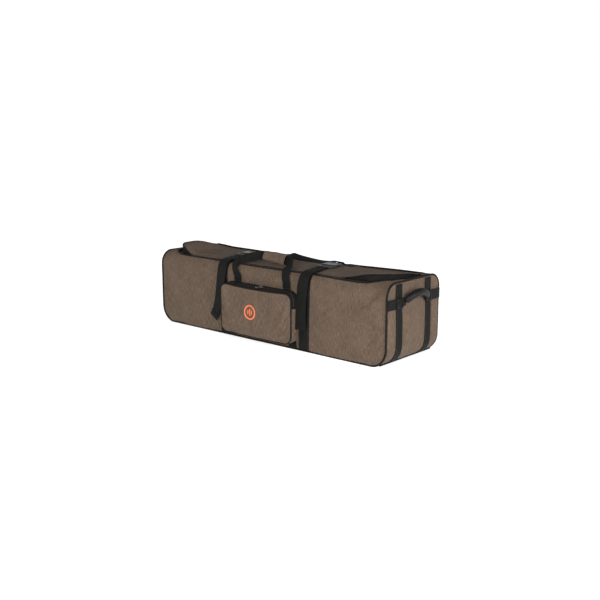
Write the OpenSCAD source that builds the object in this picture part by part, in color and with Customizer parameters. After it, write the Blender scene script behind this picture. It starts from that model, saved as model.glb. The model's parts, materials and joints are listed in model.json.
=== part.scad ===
// Long padded gig bag: a box-shaped fabric shell with foam walls, a zipped padded lid, a front pocket,
// two compression straps, two carry handles and a padded grip on each end.
// X runs along the bag, Y from front to back, Z up. The origin is the middle of the bottom face.

/* [Bag] */
// Length of the bag over its end panels
bag_length = 1194; // [1000:2:1400]
// Depth of the bag from front panel to back panel
bag_depth = 330; // [280:1:400]
// Height of the bag at its ends
bag_height = 305; // [260:1:370]
// Radius of the bend from each end panel into the bottom
end_bend_r = 70; // [45:1:80]
// Radius of the long top edges
shoulder_r = 50; // [40:1:55]
// Thickness of the outer fabric with its backing
skin_t = 3; // [3:0.5:4]
// Thickness of the foam padding
foam_t = 7; // [5:0.5:12]
// Thickness of the lining fabric
lining_t = 1; // [0.8:0.1:2]
// Height of the seam between an end panel and the bottom panel
bottom_seam_z = 14; // [10:1:24]
// Radius of the edge piping
piping_r = 3; // [2:0.5:4]
// Thickness of the stiff board on the bottom
board_t = 3; // [2:0.5:5]

/* [Lid] */
// Distance of the lid opening from each end of the bag
opening_end_gap = 18; // [16:1:30]
// Distance of the lid opening from the front face
opening_front_gap = 20; // [16:1:30]
// Distance of the lid opening from the back face
opening_back_gap = 25; // [20:1:35]
// Radius of the two front corners of the opening
opening_corner_r = 105; // [60:1:120]
// Width of the zipper band between the opening and the lid
band_w = 24; // [20:1:30]
// Thickness of the padded lid
lid_t = 12; // [10:1:16]
// How far the lid's left end stands above the rest of the lid
lid_rise = 20; // [5:1:25]
// Width of the gap along the lid's hinge
hinge_gap = 2; // [1.5:0.5:4]
// Radius of the piping round the lid
lid_piping_r = 2.5; // [2:0.5:3]
// Thickness of the zipper tape
tape_t = 1.2; // [1:0.1:2]
// Width of one half of the zipper coil
coil_w = 3; // [2:0.5:4]
// Height of the zipper coil above its tape
coil_h = 2.5; // [2:0.5:3]

/* [Webbing] */
// Thickness of all webbing
web_t = 2; // [1.5:0.1:2.5]
// Width of the compression straps
strap_w = 50; // [38:1:50]
// Distance of each compression strap from the middle of the bag
strap_x = 219; // [210:1:260]
// Length of the loose tail that hangs down the front
tail_drop = 222; // [120:1:230]
// Distance that the loose tail stands off the front
tail_gap = 10; // [6:1:16]
// Width of the handle webbing and the end straps
web_w = 38; // [30:1:40]
// Distance of each handle leg from the middle where it meets the bottom
leg_x = 163; // [150:1:165]
// Height at which a handle leg leaves the bag
leg_top_z = 236; // [232:1:240]
// Distance of each handle leg from the middle at that height
leg_top_x = 130; // [120:1:140]

/* [Handles] */
// Length of the fabric grip wrap
wrap_length = 124; // [100:1:140]
// Width of the grip wrap, measured up and down
wrap_w = 38; // [30:1:44]
// Thickness of the grip wrap
wrap_t = 20; // [14:1:26]
// Distance of the front grip from the front face
front_grip_in = 80; // [70:1:90]
// Distance of the rear grip from the back face
rear_grip_in = 128; // [110:1:135]
// Height of the front grip above the top of the bag
front_grip_up = 24; // [22:1:30]
// Height of the rear grip above the top of the bag
rear_grip_up = 14; // [12:1:20]
// Distance of each end strap from the middle of the end panel
end_strap_y = 92; // [80:1:95]
// Height of the band across each end panel
end_band_z = 231; // [200:1:236]
// Radius of the padded tube of an end grip
end_grip_r = 11; // [9:0.5:13]
// How far an end grip arches out from its ends
end_grip_rise = 42; // [34:1:50]
// Angle of an end grip above level
end_grip_tilt = 45; // [30:1:55]

/* [Pocket] */
// Width of the front pocket
pocket_w = 374; // [340:2:380]
// Height of the pocket's bottom edge above the ground
pocket_z = 28; // [20:1:40]
// Height of the pocket
pocket_h = 200; // [170:1:202]
// Depth of the pocket
pocket_d = 42; // [30:1:60]
// Radius of the pocket's corners
pocket_r = 34; // [20:1:45]
// Thickness of the pocket's walls
pocket_t = 3; // [2:0.5:4]
// Length of the pocket's side zippers, down from its top edge
pocket_zip_drop = 62; // [50:1:80]
// Distance of the pocket zipper from the pocket's front edge
pocket_rim_d = 16; // [12:1:20]
// Size of the round emblem patch
emblem_r = 32; // [20:1:40]
// Distance of the emblem from the middle of the pocket, negative to the left
emblem_x = -22; // [-40:1:40]

/* [Buckles] */
// Width of a side release buckle
buckle_w = 64; // [58:1:70]
// Length of its socket half
socket_l = 50; // [40:1:60]
// Height of the buckle
buckle_h = 13; // [11:0.5:16]
// Wall of the socket half
socket_wall = 2.5; // [2:0.25:3]
// Distance of the socket half's mouth from the front face
socket_y = 135; // [125:1:150]
// Clearance between the two halves
buckle_gap = 0.5; // [0.3:0.1:1]

/* [Hidden] */
$fn = 64;
e = 0.01;
half_l = bag_length / 2;
half_d = bag_depth / 2;
wall = skin_t + foam_t + lining_t;
over = 60;
gap = 0.4;
// Opening and lid outlines, seen from above
open_x = half_l - opening_end_gap;
open_front = -half_d + opening_front_gap;
open_back = half_d - opening_back_gap;
lid_x = open_x - band_w;
lid_front = open_front + band_w;
lid_back = open_back - hinge_gap;
lid_corner_r = opening_corner_r - band_w;
lid_top = bag_height + 1;
lid_bottom = lid_top - lid_t;
mid_inset = band_w / 2;
tape_z = lid_bottom;
coil_z = tape_z + tape_t;
// Heights of the compression straps on the lid
run_z = lid_top + gap;
socket_front = -half_d + socket_y;
ladder_l = 26;
prong_l = 34;
// Pocket
pocket_back_y = -half_d - web_t - gap;
pocket_front_y = pocket_back_y - pocket_d;
pocket_top = pocket_z + pocket_h;
flap_z = pocket_top - pocket_zip_drop;
zip_y = pocket_front_y + pocket_rim_d;
pocket_pad_t = 5;
pocket_slider_x = 20;
pull_l = 34;
pull_w = 9;
// Handles
handle_y = half_d + web_t + gap;
front_grip_y = half_d - front_grip_in;
rear_grip_y = half_d - rear_grip_in;
// Colours
fabric = [0.44, 0.38, 0.32];
black = [0.10, 0.10, 0.10];
foam = [0.32, 0.33, 0.35];
plastic = [0.06, 0.06, 0.07];
inside = [0.20, 0.20, 0.22];
mark = [0.85, 0.32, 0.12];

// ---- profiles and blocks ----

// Bag seen from the front, inset by i, with the two bottom corners bent; up raises its top edge
module front_profile(i, up = 0) {
    r = end_bend_r - i;
    w = half_l - i;
    union() {
        translate([-w, i + r]) square([2 * w, bag_height - 2 * i - r + up]);
        translate([-w + r, i]) square([2 * (w - r), r + 1]);
        for (s = [-1, 1]) translate([s * (w - r), i + r]) circle(r);
    }
}

// Bag seen from the end, inset by i, with the two top corners rounded
module end_profile(i) {
    r = shoulder_r - i;
    w = half_d - i;
    union() {
        translate([-w, i]) square([2 * w, bag_height - 2 * i - r]);
        translate([-w + r, i]) square([2 * (w - r), bag_height - 2 * i]);
        for (s = [-1, 1]) translate([s * (w - r), bag_height - i - r]) circle(r);
    }
}

module along_y(d) {
    rotate([90, 0, 0]) linear_extrude(d, center = true) children();
}

module along_x(l) {
    rotate([90, 0, 90]) linear_extrude(l, center = true) children();
}

// The whole bag as a solid, inset by i on every side
module form(i) {
    intersection() {
        along_y(bag_depth - 2 * i) front_profile(i);
        along_x(bag_length - 2 * i) end_profile(i);
    }
}

// Everything that lies inside the end and bottom layer of thickness i
module between_ends(i) {
    along_y(bag_depth + over) front_profile(i, over);
}

// Outline with two rounded front corners, inset by i from the opening, running back to y_back
module opening_outline(i, y_back) {
    x = open_x - i;
    y = open_front + i;
    r = opening_corner_r - i;
    union() {
        translate([-x, y + r]) square([2 * x, y_back - y - r]);
        translate([-x + r, y]) square([2 * (x - r), r + 1]);
        for (s = [-1, 1]) translate([s * (x - r), y + r]) circle(r);
    }
}

module opening_cut() {
    translate([0, 0, bag_height - shoulder_r]) linear_extrude(shoulder_r + over)
        opening_outline(0, open_back);
}

// Half space boxes used to split a layer
module half(side) {
    translate([-half_l - over, side < 0 ? -half_d - over : 0, -over])
        cube([bag_length + 2 * over, half_d + over, bag_height + 2 * over]);
}

module box(x0, x1, y0, y1, z0, z1) {
    translate([x0, y0, z0]) cube([x1 - x0, y1 - y0, z1 - z0]);
}

// Webbing that lies on a long top edge: an arc in the end view, on side s, from the face to angle a
module shoulder_web(x, w, s, inner, t, a) {
    r = shoulder_r + inner;
    translate([x - w / 2, s * (half_d - shoulder_r), bag_height - shoulder_r])
        rotate([90, 0, 90]) mirror([s < 0 ? 1 : 0, 0, 0])
            linear_extrude(w) intersection() {
                difference() {
                    circle(r + t);
                    circle(r);
                }
                polygon([[0, 0], [2 * r, 0], [2 * r, 2 * r * tan(a / 2)], [2 * r * cos(a), 2 * r * sin(a)]]);
            }
}

// ---- shell ----

module side_panel(side) {
    intersection() {
        difference() {
            form(0);
            form(skin_t);
            opening_cut();
        }
        between_ends(skin_t);
        half(side);
    }
}

module front_panel() {
    color(fabric) side_panel(-1);
}

module back_panel() {
    color(fabric) side_panel(1);
}

module end_and_bottom_layer(outer, inner) {
    difference() {
        form(outer);
        between_ends(inner);
    }
}

module end_panel(s) {
    intersection() {
        end_and_bottom_layer(0, skin_t);
        box(s < 0 ? -half_l - 1 : 0, s < 0 ? 0 : half_l + 1, -half_d - 1, half_d + 1,
            bottom_seam_z, bag_height + 1);
    }
}

module left_end_panel() {
    color(fabric) end_panel(-1);
}

module right_end_panel() {
    color(fabric) end_panel(1);
}

// The webbing that passes under the bag lies in shallow channels, flush with the bottom face
module bottom_panel() {
    color(black) difference() {
        intersection() {
            end_and_bottom_layer(0, skin_t);
            box(-half_l - 1, half_l + 1, -half_d - 1, half_d + 1, -1, bottom_seam_z);
        }
        for (s = [-1, 1]) {
            box(s * strap_x - strap_w / 2, s * strap_x + strap_w / 2, -half_d - 1, half_d + 1, -1, web_t);
            box(s * leg_x - web_w / 2, s * leg_x + web_w / 2, -half_d - 1, half_d + 1, -1, web_t);
        }
    }
}

module side_foam(side) {
    intersection() {
        difference() {
            form(skin_t);
            form(skin_t + foam_t);
            opening_cut();
        }
        between_ends(skin_t + foam_t);
        half(side);
    }
}

module foam_front() {
    color(foam) side_foam(-1);
}

module foam_back() {
    color(foam) side_foam(1);
}

module end_foam(s) {
    x0 = half_l - end_bend_r;
    intersection() {
        end_and_bottom_layer(skin_t, skin_t + foam_t);
        box(s < 0 ? -half_l : x0, s < 0 ? -x0 : half_l, -half_d, half_d, 0, bag_height);
    }
}

module foam_left_end() {
    color(foam) end_foam(-1);
}

module foam_right_end() {
    color(foam) end_foam(1);
}

module foam_bottom() {
    x0 = half_l - end_bend_r;
    color(foam) box(-x0, x0, -half_d + skin_t, half_d - skin_t, skin_t, skin_t + foam_t);
}

module lining() {
    color(inside) difference() {
        form(skin_t + foam_t);
        form(wall);
        opening_cut();
    }
}

module base_board() {
    x = half_l - end_bend_r - 8;
    y = half_d - wall - 2;
    color(plastic) box(-x, x, -y, y, wall, wall + board_t);
}

// Piping along one long face: up each end, round both bends and along the bottom
module side_piping(y) {
    r = end_bend_r - piping_r;
    x = half_l - piping_r;
    z = bag_height - shoulder_r;
    translate([0, y, 0]) union() {
        for (s = [-1, 1]) {
            translate([s * x, 0, end_bend_r]) cylinder(r = piping_r, h = z - end_bend_r);
            translate([s * (x - r), 0, end_bend_r]) rotate([90, 0, 0]) rotate([0, 0, s < 0 ? 180 : 270])
                rotate_extrude(angle = 90) translate([r, 0]) circle(piping_r);
        }
        translate([0, 0, piping_r]) rotate([0, 90, 0])
            cylinder(r = piping_r, h = 2 * (x - r), center = true);
    }
}

module piping_front() {
    color(black) side_piping(-half_d);
}

module piping_back() {
    color(black) side_piping(half_d);
}

// Piping over the top of an end panel, between the two long pipings
module end_piping(s) {
    r = shoulder_r;
    translate([s * (half_l - piping_r), 0, 0]) union() {
        translate([0, 0, bag_height]) rotate([90, 0, 0])
            cylinder(r = piping_r, h = 2 * (half_d - r), center = true);
        for (m = [0, 1]) mirror([0, m, 0])
            translate([0, half_d - r, bag_height - r]) rotate([90, 0, 90])
                rotate_extrude(angle = 90) translate([r, 0]) circle(piping_r);
    }
}

module piping_left_end() {
    color(black) end_piping(-1);
}

module piping_right_end() {
    color(black) end_piping(1);
}

// ---- zipper of the lid ----

// A flat band of the zipper between two insets from the opening, back to the hinge
module zipper_band(from, to, z, t) {
    translate([0, 0, z]) linear_extrude(t) difference() {
        opening_outline(from, lid_back);
        opening_outline(to, lid_back + 1);
    }
}

module body_zipper_tape() {
    color(black) union() {
        zipper_band(0, mid_inset - gap / 2, tape_z, tape_t);
        zipper_band(mid_inset - coil_w, mid_inset - gap / 2, tape_z, tape_t + coil_h);
    }
}

module lid_zipper_tape() {
    color(black) union() {
        zipper_band(mid_inset + gap / 2, band_w, tape_z, tape_t);
        zipper_band(mid_inset + gap / 2, mid_inset + coil_w, tape_z, tape_t + coil_h);
    }
}

module hinge_binding() {
    color(black) box(-lid_x, lid_x, lid_back + gap, open_back, tape_z - tape_t, tape_z + coil_h * 2);
}

slider_w = 13;
slider_l = 17;
slider_y = lid_back - 4 - slider_l / 2;
slider_z = coil_z + coil_h + gap;
bridge_h = 7;
pin_r = 1.1;
pin_up = 3.8;
arm_x = 2.8;

// A slider: a plate over the coil with a bridge that holds the pull's pin
module slider_body(x, y, z, w, l) {
    union() {
        box(x - w / 2, x + w / 2, y - l / 2, y + l / 2, z, z + 2);
        for (k = [-1, 1]) box(x - 2, x + 2, y + k * 4.5 - 1, y + k * 4.5 + 1, z, z + bridge_h);
        box(x - 2, x + 2, y - 5.5, y + 5.5, z + bridge_h - 1.4, z + bridge_h);
    }
}

// A pull of length l and width w that lies forward from its pin, which runs along X under the bridge
module pull_tab(x, y, z, l, w) {
    union() {
        translate([x, y, z]) rotate([0, 90, 0]) cylinder(r = pin_r, h = 2 * arm_x + 1, center = true);
        difference() {
            box(x - w / 2, x + w / 2, y - l, y + pin_r, z - pin_r, z + pin_r);
            box(x - arm_x, x + arm_x, y - 9, y + 6, z - 3, z + 3);
            box(x - w / 4, x + w / 4, y - l + 3, y - l + 9, z - 3, z + 3);
        }
    }
}

module zipper_slider(s) {
    color(plastic) slider_body(s * (open_x - mid_inset), slider_y, slider_z, slider_w, slider_l);
}

module left_zipper_slider() {
    zipper_slider(-1);
}

module right_zipper_slider() {
    zipper_slider(1);
}

module zipper_pull(s) {
    color(plastic) pull_tab(s * (open_x - mid_inset), slider_y, slider_z + pin_up, pull_l, pull_w);
}

module left_zipper_pull() {
    zipper_pull(-1);
}

module right_zipper_pull() {
    zipper_pull(1);
}

// ---- lid ----

// Side view of the lid between two depths below its upper face; the left end stands proud
module lid_profile(down_top, down_bottom) {
    polygon([
        [-lid_x, lid_top + lid_rise - down_top],
        [-lid_x * 0.75, lid_top + lid_rise * 0.7 - down_top],
        [-lid_x * 0.48, lid_top - down_top],
        [lid_x, lid_top - down_top],
        [lid_x, lid_top - down_bottom],
        [-lid_x * 0.48, lid_top - down_bottom],
        [-lid_x * 0.75, lid_top + (down_bottom < lid_t - lining_t - e ? lid_rise * 0.7 : 0) - down_bottom],
        [-lid_x, lid_top + (down_bottom < lid_t - lining_t - e ? lid_rise : 0) - down_bottom]
    ]);
}

module lid_prism(inset) {
    translate([0, 0, lid_bottom - 1]) linear_extrude(lid_t + lid_rise + 2)
        opening_outline(band_w + inset, lid_back);
}

module lid_cover() {
    color(fabric) intersection() {
        lid_prism(0);
        along_y(bag_depth) lid_profile(0, skin_t);
    }
}

module lid_pad() {
    color(foam) intersection() {
        lid_prism(0);
        along_y(bag_depth) lid_profile(skin_t, lid_t - lining_t);
    }
}

module lid_lining() {
    color(inside) translate([0, 0, lid_bottom]) linear_extrude(lining_t) opening_outline(band_w, lid_back);
}

// Piping round the front and ends of the lid, standing just outside its side wall
module lid_piping() {
    r = lid_corner_r + lid_piping_r;
    x = lid_x + lid_piping_r;
    y = lid_front - lid_piping_r;
    z = lid_top - lid_piping_r;
    color(black) translate([0, 0, z]) union() {
        translate([0, y, 0]) rotate([0, 90, 0]) cylinder(r = lid_piping_r, h = 2 * (x - r), center = true);
        for (m = [0, 1]) mirror([m, 0, 0]) {
            translate([x, y + r, 0]) rotate([-90, 0, 0])
                cylinder(r = lid_piping_r, h = lid_back - y - r);
            translate([x - r, y + r, 0]) rotate([0, 0, 270])
                rotate_extrude(angle = 90) translate([r, 0]) circle(lid_piping_r);
        }
    }
}

// ---- compression straps ----

web_angle = 48;

// The sewn run: up the front and back faces, over the two shoulders and under the bottom
module strap_wrap(s) {
    x0 = s * strap_x - strap_w / 2;
    x1 = x0 + strap_w;
    color(black) union() {
        box(x0, x1, -half_d - web_t, half_d + web_t, 0, web_t);
        for (m = [-1, 1]) {
            box(x0, x1, m < 0 ? -half_d - web_t : half_d, m < 0 ? -half_d : half_d + web_t,
                0, bag_height - shoulder_r);
            shoulder_web(s * strap_x, strap_w, m, 0, web_t, web_angle);
        }
    }
}

module left_strap_wrap() {
    strap_wrap(-1);
}

module right_strap_wrap() {
    strap_wrap(1);
}

// The strap's free front end: from the shoulder over the lid's front edge to the plug
module strap_front_run(s) {
    x0 = s * strap_x - strap_w / 2;
    a = web_angle + 1;
    c = [-(half_d - shoulder_r), bag_height - shoulder_r];
    ray = [-cos(a), sin(a)];
    color(black) union() {
        translate([x0, 0, 0]) rotate([90, 0, 90]) linear_extrude(strap_w) polygon([
            c + (shoulder_r + web_t) * ray, c + shoulder_r * ray, [open_front + 8, run_z + gap],
            [lid_front + 4, run_z + gap], [lid_front + 4, run_z + web_t],
            [open_front + 4, run_z + web_t + gap]
        ]);
        box(x0, x0 + strap_w, lid_front + 4 - e, socket_front - prong_l + 4, run_z, run_z + web_t);
    }
}

module left_strap_front_run() {
    strap_front_run(-1);
}

module right_strap_front_run() {
    strap_front_run(1);
}

// The loose tail: back from the plug over the front run, then hanging free in front
module strap_tail(s) {
    x0 = s * strap_x - strap_w / 2;
    z1 = run_z + 2 * web_t + 1.4;
    y0 = -half_d - tail_gap;
    color(black) union() {
        box(x0, x0 + strap_w, y0 + 22, socket_front - prong_l, z1, z1 + web_t);
        translate([x0, 0, 0]) rotate([90, 0, 90]) linear_extrude(strap_w) polygon([
            [y0 + 22, z1], [y0 + 22, z1 + web_t], [y0 + 7, z1 - 4], [y0 - web_t, z1 - 22],
            [y0, z1 - 22], [y0 + 8, z1 - 7]
        ]);
        box(x0, x0 + strap_w, y0 - web_t, y0, z1 - tail_drop, z1 - 22);
    }
}

module left_strap_tail() {
    strap_tail(-1);
}

module right_strap_tail() {
    strap_tail(1);
}

module strap_rear_run(s) {
    x0 = s * strap_x - strap_w / 2;
    color(black) box(x0, x0 + strap_w, socket_front + socket_l - 3, lid_back, run_z, run_z + web_t);
}

module left_strap_rear_run() {
    strap_rear_run(-1);
}

module right_strap_rear_run() {
    strap_rear_run(1);
}

// Socket half of the buckle: an open sleeve with a window in each side and a closed strap bar behind
module buckle_socket(s) {
    x = s * strap_x;
    w = buckle_w / 2;
    z = run_z;
    color(plastic) difference() {
        box(x - w, x + w, socket_front, socket_front + socket_l, z, z + buckle_h);
        box(x - w + socket_wall, x + w - socket_wall, socket_front - 1, socket_front + socket_l - 14,
            z + socket_wall, z + buckle_h - socket_wall);
        box(x - w - 1, x + w + 1, socket_front + 12, socket_front + 28, z + socket_wall, z + buckle_h - socket_wall);
        box(x - strap_w / 2 - 1, x + strap_w / 2 + 1, socket_front + socket_l - 11, socket_front + socket_l - 4,
            z - 1, z + buckle_h + 1);
        box(x - strap_w / 2 - gap, x + strap_w / 2 + gap, socket_front + socket_l - 5, socket_front + socket_l + 1,
            z - 1, z + web_t + gap);
    }
}

module left_buckle_socket() {
    buckle_socket(-1);
}

module right_buckle_socket() {
    buckle_socket(1);
}

// Plug half: a ladder frame for the strap with three prongs that reach into the socket
module buckle_plug(s) {
    x = s * strap_x;
    w = buckle_w / 2;
    z0 = run_z + socket_wall + buckle_gap;
    z1 = run_z + buckle_h - socket_wall - buckle_gap;
    y1 = socket_front - 1;
    y0 = y1 - ladder_l;
    inner = w - socket_wall - buckle_gap;
    color(plastic) difference() {
        union() {
            box(x - w, x + w, y0, y1, z0 + 1.5, z1);
            box(x - 5, x + 5, y1 - 1, y1 + prong_l - 4, z0, z1);
            for (m = [-1, 1]) {
                box(x + m * (inner - 3.5) - 3.5, x + m * (inner - 3.5) + 3.5, y1 - 1, y1 + prong_l - 8, z0, z1);
            }
        }
        for (k = [0, 1]) {
            box(x - strap_w / 2 - 1, x + strap_w / 2 + 1, y0 + 4 + k * 10, y0 + 10 + k * 10, z0 - 1, z1 + 1);
        }
    }
}

module left_buckle_plug() {
    buckle_plug(-1);
}

module right_buckle_plug() {
    buckle_plug(1);
}

// ---- handles ----

// A slanted leg on the face at y, from the bottom up to where the handle leaves the bag
module handle_leg(s, y, t, z0, z1) {
    lean = (leg_x - leg_top_x) / leg_top_z;
    translate([0, y, 0]) rotate([90, 0, 0]) linear_extrude(t, center = true) polygon([
        [s * (leg_x - lean * z0 - web_w / 2), z0], [s * (leg_x - lean * z0 + web_w / 2), z0],
        [s * (leg_x - lean * z1 + web_w / 2), z1], [s * (leg_x - lean * z1 - web_w / 2), z1]
    ]);
}

module handle_run(s) {
    x = s * leg_x;
    color(black) union() {
        box(x - web_w / 2, x + web_w / 2, -half_d - web_t, half_d + web_t, 0, web_t);
        for (m = [-1, 1]) handle_leg(s, m * (half_d + web_t / 2), web_t, 0, leg_top_z);
    }
}

module left_handle_run() {
    handle_run(-1);
}

module right_handle_run() {
    handle_run(1);
}

// One arm of a handle loop, in the end view, from the face at y_face to the grip at y_grip
module loop_arm(y_face, y_grip, z_grip) {
    z_bend = bag_height - 2;
    for (s = [-1, 1]) {
        translate([s * leg_top_x, -y_face, leg_top_z + 1]) translate([-web_w / 2, -web_t, 0])
            cube([web_w, web_t, z_bend - leg_top_z - 1]);
        hull() {
            translate([s * leg_top_x - web_w / 2, -y_face - web_t, z_bend - 4]) cube([web_w, web_t, 4]);
            translate([s * (leg_top_x - 12) - web_w / 2, -y_face + 14, lid_top + 9]) cube([web_w, 6, web_t]);
        }
        hull() {
            translate([s * (leg_top_x - 12) - web_w / 2, -y_face + 14, lid_top + 9]) cube([web_w, 6, web_t]);
            translate([s * (wrap_length / 2 - 2) - 4, -y_grip - web_w / 2, z_grip]) cube([8, web_w, web_t]);
        }
    }
    translate([-wrap_length / 2, -y_grip - web_w / 2, z_grip]) cube([wrap_length, web_w, web_t]);
}

module front_handle_loop() {
    color(black) loop_arm(handle_y, front_grip_y, lid_top + front_grip_up);
}

module rear_handle_loop() {
    color(black) mirror([0, 1, 0]) loop_arm(handle_y, rear_grip_y, lid_top + rear_grip_up);
}

// The padded wrap folds round the front webbing: a trough below it and a flap over it
module grip_wrap() {
    z = lid_top + front_grip_up;
    w = wrap_w + 4;
    l = wrap_length - 16;
    color(fabric) difference() {
        box(-l / 2, l / 2, -front_grip_y - w / 2, -front_grip_y + w / 2, z - wrap_t / 2, z + web_t + 1);
        box(-l / 2 - 1, l / 2 + 1, -front_grip_y - web_w / 2 - gap, -front_grip_y + web_w / 2 + gap,
            z - gap, z + web_t + 2);
    }
}

module grip_wrap_flap() {
    z = lid_top + front_grip_up + web_t + 1 + gap;
    w = wrap_w + 4;
    l = wrap_length - 16;
    color(fabric) box(-l / 2, l / 2, -front_grip_y - w / 2, -front_grip_y + w / 2, z, z + 5);
}

// ---- end panels ----

module end_straps() {
    z0 = end_bend_r;
    color(black) for (s = [-1, 1], m = [-1, 1]) {
        x0 = s < 0 ? -half_l - web_t : half_l;
        box(x0, x0 + web_t, m * end_strap_y - web_w / 2, m * end_strap_y + web_w / 2, z0, bag_height - 4);
        mirror([s < 0 ? 1 : 0, 0, 0]) translate([half_l - end_bend_r, m * end_strap_y, end_bend_r])
            rotate([90, 0, 0]) linear_extrude(web_w, center = true) intersection() {
                difference() {
                    circle(end_bend_r + web_t);
                    circle(end_bend_r);
                }
                translate([end_bend_r * 0.75, -end_bend_r + piping_r * 3])
                    square([end_bend_r, end_bend_r - piping_r * 3]);
            }
    }
}

// The band across each end stops at the grip's tabs, and the grip carries on from it
module end_bands() {
    color(black) for (s = [-1, 1], m = [0, 1]) mirror([0, m, 0]) {
        x0 = s < 0 ? -half_l - 2 * web_t : half_l + web_t;
        box(x0, x0 + web_t, end_strap_y - web_w / 2, half_d - piping_r - 1,
            end_band_z - web_w / 2, end_band_z + web_w / 2);
    }
}

module end_patches() {
    color(black) for (s = [-1, 1], m = [-1, 1]) {
        x0 = s < 0 ? -half_l - 2 * web_t - 1.5 : half_l + 2 * web_t;
        box(x0, x0 + 1.5, m * end_strap_y - web_w / 2, m * end_strap_y + web_w / 2,
            end_band_z - web_w / 2, end_band_z + web_w / 2);
    }
}

end_pin_x = half_l + 2 * web_t + 1.5 + gap + 4;
end_grip_half = end_strap_y - web_w / 2 - 4;
end_arc_r = (end_grip_half * end_grip_half + end_grip_rise * end_grip_rise) / (2 * end_grip_rise);
end_arc_a = asin(end_grip_half / end_arc_r);

// A padded tube that arches out and up between the two end straps, with a round tab at each end
module end_grip(s) {
    color(plastic) mirror([s < 0 ? 1 : 0, 0, 0]) translate([end_pin_x, 0, end_band_z])
        rotate([0, -end_grip_tilt, 0]) union() {
            translate([end_grip_rise - end_arc_r, 0, 0]) rotate([0, 0, -end_arc_a * 0.86])
                rotate_extrude(angle = 2 * end_arc_a * 0.86) translate([end_arc_r, 0]) circle(end_grip_r);
            translate([end_grip_rise - end_arc_r, 0, 0]) rotate([0, 0, -end_arc_a])
                rotate_extrude(angle = 2 * end_arc_a) translate([end_arc_r, 0]) circle(4);
            for (m = [-1, 1]) translate([0, m * (end_grip_half + 3), 0]) rotate([90, 0, 0])
                cylinder(r = 4, h = 12, center = true);
        }
}

module left_end_grip() {
    end_grip(-1);
}

module right_end_grip() {
    end_grip(1);
}

// ---- pocket ----

// Front view of the pocket, inset by i
module pocket_outline(i) {
    w = pocket_w / 2 - i;
    r = pocket_r - i;
    h = pocket_h - 2 * i;
    translate([0, pocket_z + i]) union() {
        translate([-w, r]) square([2 * w, h - 2 * r]);
        translate([-w + r, 0]) square([2 * (w - r), h]);
        for (s = [-1, 1], y = [r, h - r]) translate([s * (w - r), y]) circle(r);
    }
}

module pocket_layer(y0, y1, inset) {
    translate([0, y1, 0]) rotate([90, 0, 0]) linear_extrude(y1 - y0) pocket_outline(inset);
}

module pocket_ring(y0, y1, inset, t) {
    difference() {
        pocket_layer(y0, y1, inset);
        pocket_layer(y0 - 1, y1 + 1, inset + t);
    }
}

module above_flap_line(z) {
    box(-pocket_w, pocket_w, pocket_front_y - 40, pocket_back_y + 1, z, pocket_top + 20);
}

// The side wall: whole depth below the flap line, only behind the zipper above it
module pocket_gusset() {
    y0 = pocket_front_y + pocket_pad_t;
    color(fabric) difference() {
        pocket_ring(y0, pocket_back_y, 0, pocket_t);
        intersection() {
            pocket_layer(y0 - 1, zip_y + gap / 2, -5);
            above_flap_line(flap_z);
        }
    }
}

module pocket_front() {
    color(fabric) difference() {
        pocket_layer(pocket_front_y, pocket_front_y + pocket_pad_t, 0);
        above_flap_line(flap_z);
    }
}

module pocket_flap() {
    color(fabric) intersection() {
        pocket_layer(pocket_front_y, pocket_front_y + pocket_pad_t, 0);
        above_flap_line(flap_z + gap);
    }
}

module pocket_flap_rim() {
    color(black) intersection() {
        pocket_ring(pocket_front_y + pocket_pad_t, zip_y - gap / 2, 0, pocket_t);
        above_flap_line(flap_z + gap);
    }
}

// The pocket's zipper tape, fixed behind the zipper line, inside the side wall
module pocket_zipper_tape() {
    color(black) intersection() {
        pocket_ring(zip_y + gap / 2, zip_y + 9, pocket_t, tape_t);
        above_flap_line(flap_z);
    }
}

module pocket_edge(r) {
    w = pocket_w / 2;
    translate([0, pocket_front_y + r, 0]) rotate([90, 0, 0]) union() {
        for (x = [-1, 1]) translate([x * w, pocket_z + pocket_r, 0]) rotate([-90, 0, 0])
            cylinder(r = r, h = pocket_h - 2 * pocket_r);
        for (z = [pocket_z, pocket_top]) translate([0, z, 0]) rotate([0, 90, 0])
            cylinder(r = r, h = pocket_w - 2 * pocket_r, center = true);
        for (k = [0, 1, 2, 3]) translate([
            (k == 0 || k == 3 ? 1 : -1) * (w - pocket_r),
            k < 2 ? pocket_top - pocket_r : pocket_z + pocket_r, 0
        ]) rotate([0, 0, 90 * k]) rotate_extrude(angle = 90) translate([pocket_r, 0]) circle(r);
    }
}

module pocket_piping() {
    color(black) difference() {
        pocket_edge(piping_r - 0.5);
        above_flap_line(flap_z);
    }
}

module pocket_flap_piping() {
    color(black) intersection() {
        pocket_edge(piping_r - 0.5);
        above_flap_line(flap_z + gap);
    }
}

emblem_z = 127;

module emblem_patch() {
    color(mark) translate([emblem_x, pocket_front_y - gap / 2, emblem_z]) rotate([90, 0, 0]) difference() {
        cylinder(r = emblem_r, h = 1.4);
        translate([0, 0, -1]) cylinder(r = emblem_r * 0.7, h = 4);
    }
}

module pocket_slider() {
    color(plastic) slider_body(pocket_slider_x, zip_y, pocket_top + gap, 14, 12);
}

// The pull lies over the pocket's front edge
module pocket_pull() {
    color(plastic) pull_tab(pocket_slider_x, zip_y, pocket_top + gap + pin_up, 30, 8);
}

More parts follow.
